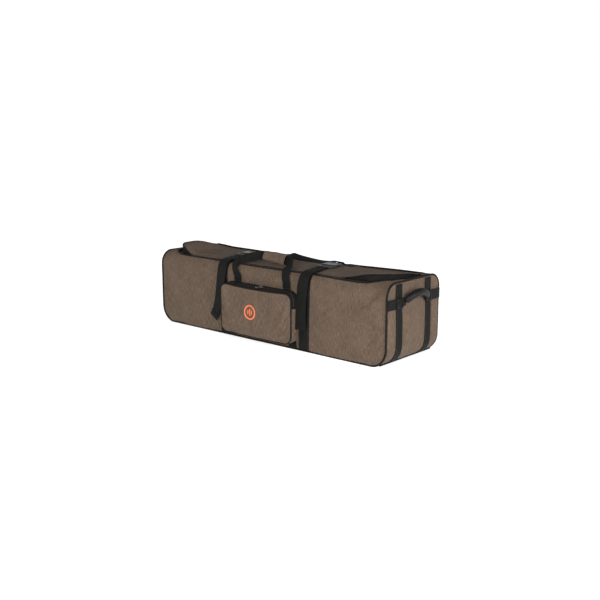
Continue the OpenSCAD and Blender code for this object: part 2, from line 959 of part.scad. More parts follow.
front_panel();
back_panel();
left_end_panel();
right_end_panel();
bottom_panel();
foam_front();
foam_back();
foam_left_end();
foam_right_end();
foam_bottom();
lining();
base_board();
piping_front();
piping_back();
piping_left_end();
piping_right_end();
body_zipper_tape();
hinge_binding();
left_strap_wrap();
right_strap_wrap();
left_handle_run();
right_handle_run();
end_straps();
end_bands();
end_patches();
pocket_gusset();
pocket_front();
pocket_piping();
pocket_zipper_tape();
emblem_patch();
left_strap_front_run();
right_strap_front_run();
left_strap_tail();
right_strap_tail();
lid_cover();
lid_pad();
lid_lining();
lid_piping();
lid_zipper_tape();
left_strap_rear_run();
right_strap_rear_run();
left_buckle_socket();
right_buckle_socket();
left_buckle_plug();
right_buckle_plug();
left_zipper_slider();
right_zipper_slider();
left_zipper_pull();
right_zipper_pull();
front_handle_loop();
grip_wrap();
grip_wrap_flap();
rear_handle_loop();
left_end_grip();
right_end_grip();
pocket_flap();
pocket_flap_rim();
pocket_flap_piping();
pocket_slider();
pocket_pull();
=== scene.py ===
"""Looks for the padded gig bag. Metres, in the part's own frame: X along the bag, Y to the back, Z up."""

import json
import math

import bmesh
import bpy
import numpy as np
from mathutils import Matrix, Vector, noise


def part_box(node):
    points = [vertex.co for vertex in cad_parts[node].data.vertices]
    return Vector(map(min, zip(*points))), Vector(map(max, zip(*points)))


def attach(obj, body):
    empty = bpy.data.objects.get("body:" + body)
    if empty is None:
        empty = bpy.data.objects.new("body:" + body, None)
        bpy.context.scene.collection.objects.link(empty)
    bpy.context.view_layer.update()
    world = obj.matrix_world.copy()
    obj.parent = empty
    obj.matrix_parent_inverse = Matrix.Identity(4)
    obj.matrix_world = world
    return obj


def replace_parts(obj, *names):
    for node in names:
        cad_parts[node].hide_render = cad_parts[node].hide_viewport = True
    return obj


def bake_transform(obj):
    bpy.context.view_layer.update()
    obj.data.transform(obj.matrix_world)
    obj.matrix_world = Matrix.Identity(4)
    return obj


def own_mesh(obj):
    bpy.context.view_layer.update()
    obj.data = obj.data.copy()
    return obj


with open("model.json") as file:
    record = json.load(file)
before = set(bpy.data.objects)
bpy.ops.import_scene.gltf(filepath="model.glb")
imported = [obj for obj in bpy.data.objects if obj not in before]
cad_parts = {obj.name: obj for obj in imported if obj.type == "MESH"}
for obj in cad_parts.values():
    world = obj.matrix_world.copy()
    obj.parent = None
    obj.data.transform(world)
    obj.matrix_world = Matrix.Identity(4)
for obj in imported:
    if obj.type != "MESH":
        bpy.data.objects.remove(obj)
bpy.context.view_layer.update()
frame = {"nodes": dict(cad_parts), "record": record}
scene = bpy.context.scene

# ---- sizes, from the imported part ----
HALF_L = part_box("right_end_panel")[1].x
HALF_D = -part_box("front_panel")[0].y
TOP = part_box("right_end_panel")[1].z
BEND = 0.070
SHOULDER = 0.050
FRONT_EDGE = -HALF_D + 0.020
BACK_EDGE = HALF_D - 0.025
OPEN_X = HALF_L - 0.018
CORNER = 0.105
BAND = 0.024
LID_X = OPEN_X - BAND
LID_FRONT = FRONT_EDGE + BAND
LID_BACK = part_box("lid_cover")[1].y
LID_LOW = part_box("lid_lining")[0].z
LID_TOP = 0.306
ZIP_Z = 0.2958
RISE = 0.030
STRAP_X = 0.219
POCKET_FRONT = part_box("pocket_front")[0].y
POCKET_BACK = -HALF_D
POCKET_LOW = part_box("pocket_front")[0].z
POCKET_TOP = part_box("pocket_flap")[1].z
POCKET_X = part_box("pocket_flap")[1].x
POCKET_R = 0.034
ZIP_Y = POCKET_FRONT + 0.016
DOOR_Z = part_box("pocket_flap")[0].z
CLOTH = "cloth"
INSIDE = (0, 0, 0.15)
PANEL_T = 0.0092
HANDLE_W = 0.038
STRAP_W = 0.050
RUN_W = 0.049
LEG_X, LEG_TOP_X, LEG_TOP_Z = 0.163, 0.130, 0.236
END_STRAP_Y = 0.092
GRIP_Z = 0.231
GRIP_S = GRIP_Z - BEND + BEND * np.pi / 2
STRAP_SHIFT = 0.007


# ---- camera, floor and light ----
def look_at(obj, target):
    obj.rotation_mode = "QUATERNION"
    obj.rotation_quaternion = (Vector(target) - obj.location).to_track_quat("-Z", "Y")


def add_camera():
    data = bpy.data.cameras.new("camera")
    data.sensor_width = 36
    data.lens = 52.98
    data.clip_start, data.clip_end = 0.05, 60
    cam = bpy.data.objects.new("camera", data)
    scene.collection.objects.link(cam)
    cam.location = (2.335, -2.625, 0.886)
    look_at(cam, (0.0513, 0, 0.1516))
    scene.camera = cam


def add_area(name, place, target, size, power):
    data = bpy.data.lights.new(name, "AREA")
    data.shape = "DISK"
    data.size = size
    data.energy = power
    light = bpy.data.objects.new(name, data)
    scene.collection.objects.link(light)
    light.location = place
    look_at(light, target)


def add_stage():
    world = bpy.data.worlds.new("studio")
    world.use_nodes = True
    back = world.node_tree.nodes["Background"]
    add = world.node_tree.nodes.new
    link = world.node_tree.links.new
    split = add("ShaderNodeSeparateXYZ")
    link(add("ShaderNodeTexCoord").outputs["Generated"], split.inputs[0])
    fall = add("ShaderNodeMapRange")
    for key, value in (("From Min", 0.15), ("From Max", 0.5), ("To Min", 1.0), ("To Max", 0.34)):
        fall.inputs[key].default_value = value
    link(split.outputs["Z"], fall.inputs["Value"])
    link(fall.outputs["Result"], back.inputs["Color"])
    back.inputs["Strength"].default_value = 1.0
    scene.world = world
    scene.view_settings.view_transform = "Standard"
    add_area("key", (1.2, -4.4, 1.3), (0, 0, 0.15), 2.4, 160)
    add_area("side", (4.4, -0.9, 1.2), (0.4, 0, 0.15), 2.0, 200)
    me = bpy.data.meshes.new("floor")
    s = 14
    me.from_pydata([(-s, -s, 0), (s, -s, 0), (s, s, 0), (-s, s, 0)], [], [(0, 1, 2, 3)])
    floor = bpy.data.objects.new("floor", me)
    floor.location.z = -0.0008
    scene.collection.objects.link(floor)
    mat = bpy.data.materials.new("floor")
    mat.use_nodes = True
    shader = mat.node_tree.nodes["Principled BSDF"]
    shader.inputs["Base Color"].default_value = (0.93, 0.93, 0.93, 1)
    shader.inputs["Roughness"].default_value = 0.9
    shader.inputs["Emission Color"].default_value = (1, 1, 1, 1)
    shader.inputs["Emission Strength"].default_value = 0.62
    me.materials.append(mat)


# ---- materials ----
class Tree:
    """A short way to write node trees."""

    def __init__(self, name):
        self.mat = bpy.data.materials.new(name)
        self.mat.use_nodes = True
        self.tree = self.mat.node_tree
        self.shader = self.tree.nodes["Principled BSDF"]

    def add(self, kind, settings=None, **inputs):
        n = self.tree.nodes.new(kind)
        for key, value in (settings or {}).items():
            setattr(n, key, value)
        for key, value in inputs.items():
            self.feed(n.inputs[int(key[1:]) if key[0] == "i" and key[1:].isdigit() else key], value)
        return n

    def feed(self, socket, value):
        if isinstance(value, bpy.types.NodeSocket):
            self.tree.links.new(value, socket)
        else:
            socket.default_value = value

    def maths(self, how, a, b=0.0):
        return self.add("ShaderNodeMath", {"operation": how}, i0=a, i1=b).outputs[0]

    def noise(self, where, scale, detail=3.0, rough=0.6):
        stretched = self.add("ShaderNodeMapping", None, Vector=where, Scale=scale).outputs[0]
        n = self.add("ShaderNodeTexNoise", None, Vector=stretched, Scale=1.0, Detail=detail, Roughness=rough)
        return n.outputs["Fac"]

    def ramp(self, value, stops):
        n = self.add("ShaderNodeValToRGB", None, Fac=value)
        while len(n.color_ramp.elements) < len(stops):
            n.color_ramp.elements.new(0.5)
        for element, (place, colour) in zip(n.color_ramp.elements, stops):
            element.position = place
            element.color = (*colour, 1)
        return n.outputs["Color"]

    def bump(self, height, distance, strength=1.0):
        n = self.add("ShaderNodeBump", None, Strength=strength, Distance=distance, Height=height)
        self.feed(self.shader.inputs["Normal"], n.outputs[0])

    def ribs(self, value, pitch):
        return self.maths("SINE", self.maths("MULTIPLY", value, 2 * math.pi / pitch))

    def done(self, rough, sheen=0.0, specular=0.3, metal=0.0):
        s = self.shader.inputs
        s["Roughness"].default_value = rough
        s["Sheen Weight"].default_value = sheen
        s["Sheen Roughness"].default_value = 0.5
        s["Specular IOR Level"].default_value = specular
        s["Metallic"].default_value = metal
        return self.mat


def split_uv(t):
    uv = t.add("ShaderNodeUVMap", {"uv_map": CLOTH}).outputs[0]
    parts = t.add("ShaderNodeSeparateXYZ", None, Vector=uv)
    return uv, parts.outputs[0], parts.outputs[1]


def woven(name, dark, middle, light, pitch=0.0016, sheen=0.02):
    """Heathered cloth: dark and light yarns with long slubs along V."""
    t = Tree(name)
    uv, u, v = split_uv(t)
    slubs = t.noise(uv, (620, 45, 1))
    weft = t.noise(uv, (60, 640, 1))
    specks = t.noise(uv, (1100, 900, 1), 1.0)
    mottle = t.noise(uv, (14, 9, 1), 4.0)
    sum_a = t.maths("ADD", t.maths("MULTIPLY", slubs, 0.42), t.maths("MULTIPLY", weft, 0.22))
    sum_b = t.maths("ADD", t.maths("MULTIPLY", specks, 0.24), t.maths("MULTIPLY", mottle, 0.12))
    total = t.maths("ADD", sum_a, sum_b)
    colour = t.ramp(total, [(0.40, dark), (0.50, middle), (0.61, light)])
    t.feed(t.shader.inputs["Base Color"], colour)
    weave = t.maths("MULTIPLY", t.ribs(u, pitch), t.ribs(v, pitch))
    height = t.maths("ADD", t.maths("MULTIPLY", weave, 0.35), total)
    t.bump(height, 0.0006)
    return t.done(0.9, sheen, 0.1)


def webbing(name, base=(0.0036, 0.0036, 0.0034), pitch=0.0022):
    """Flat webbing: ribs across it, a twill slant and a firm selvedge."""
    t = Tree(name)
    uv, u, v = split_uv(t)
    ribs = t.ribs(v, pitch)
    twill = t.ribs(t.maths("ADD", u, v), pitch * 2)
    worn = t.noise(uv, (60, 25, 1))
    fibres = t.noise(uv, (2600, 300, 1), 2.0)
    mix = t.maths("ADD", t.maths("MULTIPLY", worn, 0.6), t.maths("MULTIPLY", fibres, 0.4))
    light = tuple(c * 2.1 for c in base)
    t.feed(t.shader.inputs["Base Color"], t.ramp(mix, [(0.35, base), (0.65, light)]))
    height = t.maths("ADD", t.maths("ADD", ribs, t.maths("MULTIPLY", twill, 0.5)), fibres)
    t.bump(height, 0.00035)
    return t.done(0.75, 0.0, 0.12)


def coated(name, dark, light, rough=0.6, scale=700):
    """Smooth dark cloth with a fine grain, for piping and linings."""
    t = Tree(name)
    place = t.add("ShaderNodeTexCoord").outputs["Object"]
    grain = t.noise(place, (scale, scale, scale), 3.0)
    patches = t.noise(place, (18, 18, 18), 3.0)
    mix = t.maths("ADD", t.maths("MULTIPLY", grain, 0.5), t.maths("MULTIPLY", patches, 0.5))
    t.feed(t.shader.inputs["Base Color"], t.ramp(mix, [(0.38, dark), (0.62, light)]))
    t.bump(grain, 0.0003)
    return t.done(rough, 0.0, 0.14)


def moulded(name, dark, light, rough, metal=0.0, scale=1500, specular=0.5):
    """Moulded plastic or painted metal with fine texture and rubbed edges."""
    t = Tree(name)
    place = t.add("ShaderNodeTexCoord").outputs["Object"]
    grain = t.noise(place, (scale, scale, scale), 2.0)
    edges = t.add("ShaderNodeNewGeometry").outputs["Pointiness"]
    rubbed = t.maths("ADD", t.maths("MULTIPLY", grain, 0.25), edges)
    t.feed(t.shader.inputs["Base Color"], t.ramp(rubbed, [(0.60, dark), (0.74, light)]))
    t.bump(grain, 0.00012, 0.6)
    return t.done(rough, 0.0, specular, metal)


def thread(name, dark, light):
    """Embroidery and sewing thread: fine strands with a soft shine."""
    t = Tree(name)
    place = t.add("ShaderNodeTexCoord").outputs["Object"]
    strands = t.noise(place, (900, 900, 240), 2.0)
    t.feed(t.shader.inputs["Base Color"], t.ramp(strands, [(0.4, dark), (0.6, light)]))
    t.bump(strands, 0.0004)
    return t.done(0.5, 0.2, 0.4)


BROWN = woven("woven_brown", (0.047, 0.032, 0.0225), (0.088, 0.061, 0.043), (0.142, 0.103, 0.074))
STRAP = webbing("strap_webbing")
COATED = webbing("coated_black", (0.0060, 0.0052, 0.0048), 0.0012)
TAPE = webbing("zipper_tape", (0.0052, 0.0050, 0.0048), 0.0011)
PIPE = coated("piping", (0.0028, 0.0020, 0.0016), (0.0070, 0.0052, 0.0042), 0.7)
LINING = webbing("lining_nylon", (0.014, 0.014, 0.0145), 0.0009)
NYLON = moulded("nylon_teeth", (0.012, 0.012, 0.012), (0.03, 0.03, 0.03), 0.4)
PLASTIC = moulded("buckle_plastic", (0.007, 0.007, 0.0075), (0.022, 0.022, 0.023), 0.38)
METAL = moulded("painted_metal", (0.015, 0.015, 0.016), (0.16, 0.155, 0.15), 0.3, 0.6)
GRIP = coated("grip_sleeve", (0.0026, 0.0026, 0.0030), (0.0065, 0.0065, 0.0070), 0.5, 420)
SEW_BLACK = thread("black_thread", (0.012, 0.012, 0.012), (0.045, 0.044, 0.042))
SEW_BROWN = thread("brown_thread", (0.05, 0.038, 0.03), (0.14, 0.11, 0.085))
ORANGE = thread("orange_thread", (0.50, 0.070, 0.014), (0.78, 0.165, 0.042))


# ---- meshes ----
def unit(v):
    v = np.asarray(v, float)
    return v / np.maximum(np.linalg.norm(v, axis=-1, keepdims=True), 1e-12)


def surface(x, y, z):
    """Points from coordinates that are spread over each other's rows and columns."""
    return np.stack(np.broadcast_arrays(x, y, z), -1)


def border(shape, rows=1):
    """Pin weights that hold a cloth grid along its border."""
    pins = np.zeros(shape)
    pins[:rows], pins[-rows:], pins[:, :1], pins[:, -1:] = 1, 1, 1, 1
    return pins


def hold(pins, where):
    return np.maximum(pins, where * 1.0)


def smoothstep(a, b, x):
    t = np.clip((np.asarray(x, float) - a) / (b - a), 0, 1)
    return t * t * (3 - 2 * t)


def bell(x, middle, width):
    return np.exp(-(((np.asarray(x, float) - middle) / width) ** 2))


def ripple(points, scale, seed):
    """Smooth noise from -1 to 1 at each point."""
    flat = points.reshape(-1, 3) * scale
    shift = Vector((seed * 7.3, seed * 3.1, seed * 1.7))
    values = [noise.noise(Vector(p) + shift) for p in flat]
    return np.array(values).reshape(points.shape[:-1])


def make_object(name, verts, faces, material, uv=None, smooth=True):
    me = bpy.data.meshes.new(name)
    me.from_pydata(np.asarray(verts, float).tolist(), [], [list(map(int, f)) for f in faces])
    me.update()
    if uv is not None:
        loops = np.zeros(len(me.loops), int)
        me.loops.foreach_get("vertex_index", loops)
        layer = me.uv_layers.new(name=CLOTH)
        layer.uv.foreach_set("vector", np.asarray(uv, float)[loops].astype(np.float32).ravel())
    me.polygons.foreach_set("use_smooth", np.full(len(me.polygons), smooth))
    me.materials.append(material)
    obj = bpy.data.objects.new(name, me)
    scene.collection.objects.link(obj)
    return obj


def quads(n, m, closed=False):
    i = np.arange(n * m).reshape(n, m)
    j = np.roll(i, -1, axis=1) if closed else i[:, 1:]
    i = i if closed else i[:, :-1]
    return np.stack([i[:-1], i[1:], j[1:], j[:-1]], -1).reshape(-1, 4)


def grid_normals(grid):
    du = np.gradient(grid, axis=0)
    dv = np.gradient(grid, axis=1)
    return unit(np.cross(du, dv))


def slab(name, grid, uv, thick, material, outward, subdivide=1):
    """A closed padded sheet: grid is its outer face, and thick its thickness inwards."""
    normals = grid_normals(grid)
    middle = grid.reshape(-1, 3).mean(0)
    way = np.sign(np.sum(normals * (grid - np.array(outward)), -1).mean())
    way = 1.0 if way == 0 else way
    inner = grid - normals * way * thick
    n, m = grid.shape[:2]
    faces = quads(n, m)
    if way < 0:
        faces = faces[:, ::-1]
    back = faces[:, ::-1] + n * m
    i = np.arange(n * m).reshape(n, m)
    loop = np.concatenate([i[0, :-1], i[:-1, -1], i[-1, :0:-1], i[:0:-1, 0]])
    after = np.roll(loop, -1)
    rim = np.stack([loop, after, after + n * m, loop + n * m], -1)
    rim = rim if way > 0 else rim[:, ::-1]
    verts = np.concatenate([grid.reshape(-1, 3), inner.reshape(-1, 3)])
    uvs = np.concatenate([uv.reshape(-1, 2), uv.reshape(-1, 2)])
    obj = make_object(name, verts, np.concatenate([faces, back, rim]), material, uvs)
    tidy_normals(obj)
    if subdivide:
        mod = obj.modifiers.new("smooth", "SUBSURF")
        mod.levels = mod.render_levels = subdivide
    return obj


def tidy_normals(obj):
    bm = bmesh.new()
    bm.from_mesh(obj.data)
    bmesh.ops.recalc_face_normals(bm, faces=bm.faces)
    bm.to_mesh(obj.data)
    bm.free()


def settle(grid, pinned, pressure, cap, outward, slack=0.0, gravity=0.0, frames=18):
    """Runs a cloth simulation on a grid of points whose pinned ones stay, and returns the new grid."""
    n, m = grid.shape[:2]
    faces = quads(n, m)
    if np.sum(grid_normals(grid) * (grid - np.array(outward)), -1).mean() < 0:
        faces = faces[:, ::-1]
    obj = make_object("settling", grid.reshape(-1, 3), faces, BROWN)
    group = obj.vertex_groups.new(name="pin")
    flat = pinned.reshape(-1)
    for w in np.unique(np.round(flat, 2)):
        where = np.nonzero(np.abs(flat - w) < 0.006)[0].tolist()
        if w > 0:
            group.add(where, float(w), "REPLACE")
    mod = obj.modifiers.new("cloth", "CLOTH")
    s = mod.settings
    s.vertex_group_mass = "pin"
    s.quality = 6
    s.mass = 0.25
    s.tension_stiffness = s.compression_stiffness = 25
    s.shear_stiffness = 8
    s.bending_stiffness = 1.5
    s.use_pressure = True
    s.uniform_pressure_force = pressure
    s.shrink_min = -slack
    s.effector_weights.gravity = gravity
    mod.collision_settings.use_collision = False
    mod.point_cache.frame_end = frames
    for f in range(1, frames + 1):
        scene.frame_set(f)
    moved = obj.evaluated_get(bpy.context.evaluated_depsgraph_get()).data
    co = np.zeros(len(moved.vertices) * 3, np.float32)
    moved.vertices.foreach_get("co", co)
    shift = co.reshape(n, m, 3).astype(float) - grid
    size = np.linalg.norm(shift, axis=-1, keepdims=True)
    shift *= np.tanh(size / cap) * cap / np.maximum(size, 1e-9)
    mesh = obj.data
    bpy.data.objects.remove(obj)
    bpy.data.meshes.remove(mesh)
    scene.frame_set(1)
    return grid + shift


def spline(points, step):
    """A smooth line through the points, with a point about every step."""
    p = np.asarray(points, float)
    p = np.concatenate([[2 * p[0] - p[1]], p, [2 * p[-1] - p[-2]]])
    out = []
    for a, b, c, d in zip(p, p[1:], p[2:], p[3:]):
        for t in np.linspace(0, 1, 24, endpoint=False):
            out.append(0.5 * (2 * b + (c - a) * t + (2 * a - 5 * b + 4 * c - d) * t**2
                              + (3 * b - a - 3 * c + d) * t**3))
    out.append(p[-2])
    return resample(np.array(out), step)


def resample(line, step):
    gaps = np.linalg.norm(np.diff(line, axis=0), axis=1)
    along = np.concatenate([[0], np.cumsum(gaps)])
    count = max(3, int(round(along[-1] / step)) + 1)
    at = np.linspace(0, along[-1], count)
    return np.stack([np.interp(at, along, line[:, k]) for k in range(line.shape[1])], -1)


def lengths(line):
    gaps = np.linalg.norm(np.diff(line, axis=0), axis=1)
    return np.concatenate([[0], np.cumsum(gaps)])


def closed_strip(name, rings, uv, material):
    """A closed solid from a row of closed rings, with flat ends."""
    n, m = rings.shape[:2]
    faces = quads(n, m, True).tolist()
    faces.append(list(range(m))[::-1])
    faces.append(list(range((n - 1) * m, n * m)))
    obj = make_object(name, rings.reshape(-1, 3), faces, material, uv.reshape(-1, 2))
    tidy_normals(obj)
    return obj


ACROSS = np.array([-0.5, -0.485, -0.44, -0.25, 0, 0.25, 0.44, 0.485, 0.5])
EDGE = np.array([0.3, 0.8, 1.0, 0.93, 0.9, 0.93, 1.0, 0.8, 0.3])


def strap(name, line, sides, width, thick):
    """Flat webbing along a line; sides holds the direction of its width at each point."""
    sides = unit(np.broadcast_to(np.asarray(sides, float), line.shape))
    along = unit(np.gradient(line, axis=0))
    sides = unit(sides - np.sum(sides * along, -1, keepdims=True) * along)
    up = unit(np.cross(along, sides))
    width = np.broadcast_to(np.asarray(width, float), (len(line),))
    spread = sides[:, None] * (ACROSS[None, :] * width[:, None])[..., None]
    lift = up[:, None] * (EDGE * thick / 2)[None, :, None]
    upper = line[:, None] + spread + lift
    lower = line[:, None] + spread - lift
    rings = np.concatenate([upper, lower[:, ::-1]], 1)
    u = ACROSS[None, :] * width[:, None]
    v = np.broadcast_to(lengths(line)[:, None], u.shape)
    uv = np.stack([np.concatenate([u, u[:, ::-1]], 1), np.concatenate([v, v], 1)], -1)
    return closed_strip(name, rings, uv, STRAP)


def tube(name, line, radius, material, sides=10):
    radius = np.broadcast_to(np.asarray(radius, float), (len(line),))
    along = unit(np.gradient(line, axis=0))
    side = np.zeros_like(line)
    first = np.cross(along[0], [0, 0, 1.0])
    side[0] = unit(first if np.linalg.norm(first) > 0.1 else np.cross(along[0], [0, 1.0, 0]))
    for k in range(1, len(line)):
        side[k] = unit(side[k - 1] - np.dot(side[k - 1], along[k]) * along[k])
    up = np.cross(along, side)
    a = np.linspace(0, 2 * np.pi, sides, endpoint=False)
    rings = line[:, None] + radius[:, None, None] * (
        np.cos(a)[None, :, None] * side[:, None] + np.sin(a)[None, :, None] * up[:, None]
    )
    v = np.broadcast_to(lengths(line)[:, None], (len(line), sides))
    u = np.broadcast_to((a * radius.mean())[None], v.shape)
    return closed_strip(name, rings, np.stack([u, v], -1), material)


def stitches(name, line, up, material, length=0.0042, gap=0.0022, width=0.0011, high=0.0009):
    """A row of sewn stitches that lies on a line."""
    places = resample(line, length + gap)
    along = unit(np.gradient(places, axis=0))
    up = unit(np.broadcast_to(np.asarray(up, float), places.shape))
    side = unit(np.cross(along, up))
    return studs(name, places, along * length / 2, side * width / 2, up * high, material)


def studs(name, places, a, b, c, material):
    """One mesh of many small rounded lozenges with half axes a, b and c."""
    corner = [places - a, places - b * 0.9, places + a, places + b * 0.9, places + c, places - c * 0.4,
              places - a * 0.6 + c * 0.75, places + a * 0.6 + c * 0.75]
    count = len(corner)
    verts = np.stack(corner, 1).reshape(-1, 3)
    shape = [(0, 1, 6), (1, 4, 6), (1, 7, 4), (1, 2, 7), (2, 3, 7), (3, 4, 7), (3, 6, 4), (3, 0, 6),
             (1, 0, 5), (2, 1, 5), (3, 2, 5), (0, 3, 5)]
    faces = (np.arange(len(places))[:, None, None] * count + np.array(shape)[None]).reshape(-1, 3)
    return make_object(name, verts, faces, material)


def blocks(name, places, a, b, c, material):
    """One mesh of many small blocks with half axes a, b and c, bevelled on top."""
    sides = [(-1, -1), (1, -1), (1, 1), (-1, 1)]
    rings = []
    for height, grow in ((-1, 1.0), (0.35, 1.0), (1, 0.6)):
        for s, t in sides:
            rings.append(places + a * s * grow + b * t * grow + c * height)
    verts = np.stack(rings, 1).reshape(-1, 3)
    shape = [(3, 2, 1, 0), (8, 9, 10, 11)]
    for low in (0, 4):
        for k in range(4):
            j = (k + 1) % 4
            shape.append((low + k, low + j, low + 4 + j, low + 4 + k))
    faces = (np.arange(len(places))[:, None, None] * 12 + np.array(shape)[None]).reshape(-1, 4)
    return make_object(name, verts, faces, material, smooth=False)


def put(obj, body):
    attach(obj, body)
    return obj


# ---- the shape of the shell ----
def low_edge(x, inset=0.0):
    """Height of a side panel's bottom edge, which rises round the bend at each end."""
    r = BEND - inset
    d = np.clip(np.abs(x) - (HALF_L - BEND), 0, r)
    return inset + r - np.sqrt(np.maximum(r**2 - d**2, 0))


def opening_y(x):
    d = np.clip(np.abs(x) - (OPEN_X - CORNER), 0, CORNER)
    return FRONT_EDGE + CORNER - np.sqrt(np.maximum(CORNER**2 - d**2, 0))


def front_sag(x):
    """How far the slack front edge of the opening droops."""
    return 0.002 * bell(x, 0.0, 0.16) + 0.003 * bell(x, 0.41, 0.09) - 0.0035


def back_droop(x):
    """How far the back edge of the opening and of the lid sinks: most just right of the middle."""
    return 0.010 * bell(x, 0.08, 0.26)


def pressed(x, width=0.045):
    """1 away from the compression straps, and near 0 under them."""
    return 1 - 0.9 * bell(np.abs(x), STRAP_X, width)


def side_point(x, t, side, inset=0.0, lift=0.0, puff=1.0):
    """A point of the front (side -1) or back (side 1) panel: t runs from the bottom seam to the opening."""
    x, t = np.broadcast_arrays(np.asarray(x, float), np.asarray(t, float))
    r = SHOULDER - inset
    z0 = low_edge(x, inset)
    reach = HALF_D + opening_y(x) if side < 0 else np.full(x.shape, HALF_D - BACK_EDGE)
    reach = reach - inset
    turn = np.arccos(np.clip(1 - reach / r, 0, 1))
    straight = TOP - SHOULDER - z0
    flat = np.maximum(reach - r, 0)
    total = straight + r * turn + flat
    s = t * total
    a = np.clip((s - straight) / r, 0, turn)
    over = np.clip(s - straight - r * turn, 0, None)
    depth = r * (1 - np.cos(a)) + over
    z = np.where(s < straight, z0 + s, TOP - SHOULDER + r * np.sin(a))
    ny, nz = np.cos(a), np.sin(a)
    ends = smoothstep(0.0, 0.16, HALF_L - np.abs(x))
    swell = 0.0085 * np.sin(np.pi * np.clip(t, 0, 1)) ** 0.9 * pressed(x) * ends
    swell = swell * (1 - 0.8 * bell(x, 0, 0.17) * (side < 0))
    swell = swell * (1 - 0.9 * bell(np.abs(x), 0.130, 0.032) * smoothstep(0.45, 0.66, t))
    sag = (front_sag(x) if side < 0 else 0.7 * back_droop(x)) * smoothstep(0.72, 1.0, t)
    out = puff * swell + lift
    y = side * (HALF_D - inset - depth + ny * out)
    return np.stack([x, y, z + nz * out - puff * sag], -1)


def side_grid(side, inset=0.0, puff=1.0, nx=150, nt=36):
    end = HALF_L - 0.003 - inset
    x = np.linspace(-end, end, nx)
    t = np.linspace(0, 1, nt)
    grid = side_point(x[:, None], t[None, :], side, inset, 0.0, puff)
    rise = np.linalg.norm(np.diff(grid, axis=1), axis=2)
    v = np.concatenate([np.zeros((nx, 1)), np.cumsum(rise, axis=1)], 1)
    v = v + low_edge(x, inset)[:, None]
    return grid, np.stack([np.broadcast_to(x[:, None], v.shape), v], -1)


def side_panel(side):
    grid, uv = side_grid(side)
    x = grid[..., 0]
    folds = ripple(grid * np.array([1.0, 0.4, 0.35]), 11, 3 + side)
    fine = ripple(grid * np.array([1.0, 1.0, 0.5]), 30, 8 + side)
    fade = smoothstep(0, 0.05, HALF_L - np.abs(x)) * pressed(x, 0.03)
    inside = np.sin(np.pi * np.linspace(0, 1, grid.shape[1]))[None, :] ** 0.5
    grid[..., 1] += side * (0.0035 * folds + 0.0012 * fine) * fade * inside
    pins = hold(border(x.shape, 2), np.abs(np.abs(x) - STRAP_X) < 0.030)
    if side < 0:
        pins = hold(pins, np.abs(x) < 0.20)
    else:
        pins = hold(pins, np.abs(np.abs(x) - (LEG_X - 0.14 * grid[..., 2])) < 0.022)
    grid = settle(grid, pins, 2.2, 0.006, (0, 0, 0.15), slack=0.012, gravity=0.4)
    name, nodes = ("front_panel", "foam_front") if side < 0 else ("back_panel", "foam_back")
    obj = slab(name + "_cloth", grid, uv, PANEL_T, BROWN, INSIDE)
    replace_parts(obj, name, nodes)
    put(obj, "bag")


def end_top(y, inset=0.0):
    r = SHOULDER - inset
    d = np.clip(np.abs(y) - (HALF_D - SHOULDER), 0, r)
    return TOP - SHOULDER + np.sqrt(np.maximum(r**2 - d**2, 0))


def end_point(y, s, inset=0.0, lift=0.0, puff=1.0):
    """A point of the right end panel: s is the height along it, counted from the floor round the bend."""
    y, s = np.broadcast_arrays(np.asarray(y, float), np.asarray(s, float))
    r = BEND - inset
    quarter = r * np.pi / 2
    a = np.clip(s / r, 0, np.pi / 2)
    x = HALF_L - BEND + r * np.sin(a)
    z = np.where(s < quarter, BEND - r * np.cos(a), BEND + s - quarter)
    rows = np.clip((s - 0.04) / 0.25, 0, 1)
    swell = 0.010 * np.sin(np.pi * rows) ** 0.8 * np.cos(np.pi * y / (2 * HALF_D)) ** 0.7
    swell = swell * (1 - 0.45 * bell(np.abs(y), 0.092, 0.03))
    out = puff * np.nan_to_num(swell) + lift
    return np.stack([x + np.sin(a) * out, y, z - np.cos(a) * out], -1)


def end_grid(inset=0.0, start=0.040, puff=1.0, ny=46, ns=40):
    edge = HALF_D - 0.003 - inset
    y = -edge * np.cos(np.linspace(0, np.pi, ny)) * 0.35 + np.linspace(-edge, edge, ny) * 0.65
    quarter = (BEND - inset) * np.pi / 2
    s_top = quarter + end_top(y, inset) - BEND - 0.001
    t = np.linspace(0, 1, ns)
    s = start + (s_top[:, None] - start) * t[None, :]
    grid = end_point(y[:, None], s, inset, 0.0, puff)
    return grid, np.stack([np.broadcast_to(y[:, None], s.shape), s], -1)


def mirrored(grid, s):
    return grid * np.array([s, 1, 1])


def end_panel(s, name):
    grid, uv = end_grid()
    grid = mirrored(grid, s)
    y = grid[..., 1]
    folds = ripple(grid * np.array([1, 1.0, 0.45]), 13, 21 + s)
    grid[..., 0] += s * 0.003 * folds * np.cos(np.pi * y / (2 * HALF_D)) ** 0.5
    pins = hold(border(y.shape), np.abs(np.abs(y + STRAP_SHIFT) - END_STRAP_Y) < 0.022)
    pins = hold(pins, np.abs(grid[..., 2] - GRIP_Z) < 0.021)
    grid = settle(grid, pins, 2.0, 0.005, (0, 0, 0.15), slack=0.012, gravity=0.4)
    obj = slab(name + "_panel_cloth", grid, uv, PANEL_T, BROWN, INSIDE)
    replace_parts(obj, name + "_panel", "foam_" + name)
    put(obj, "bag")


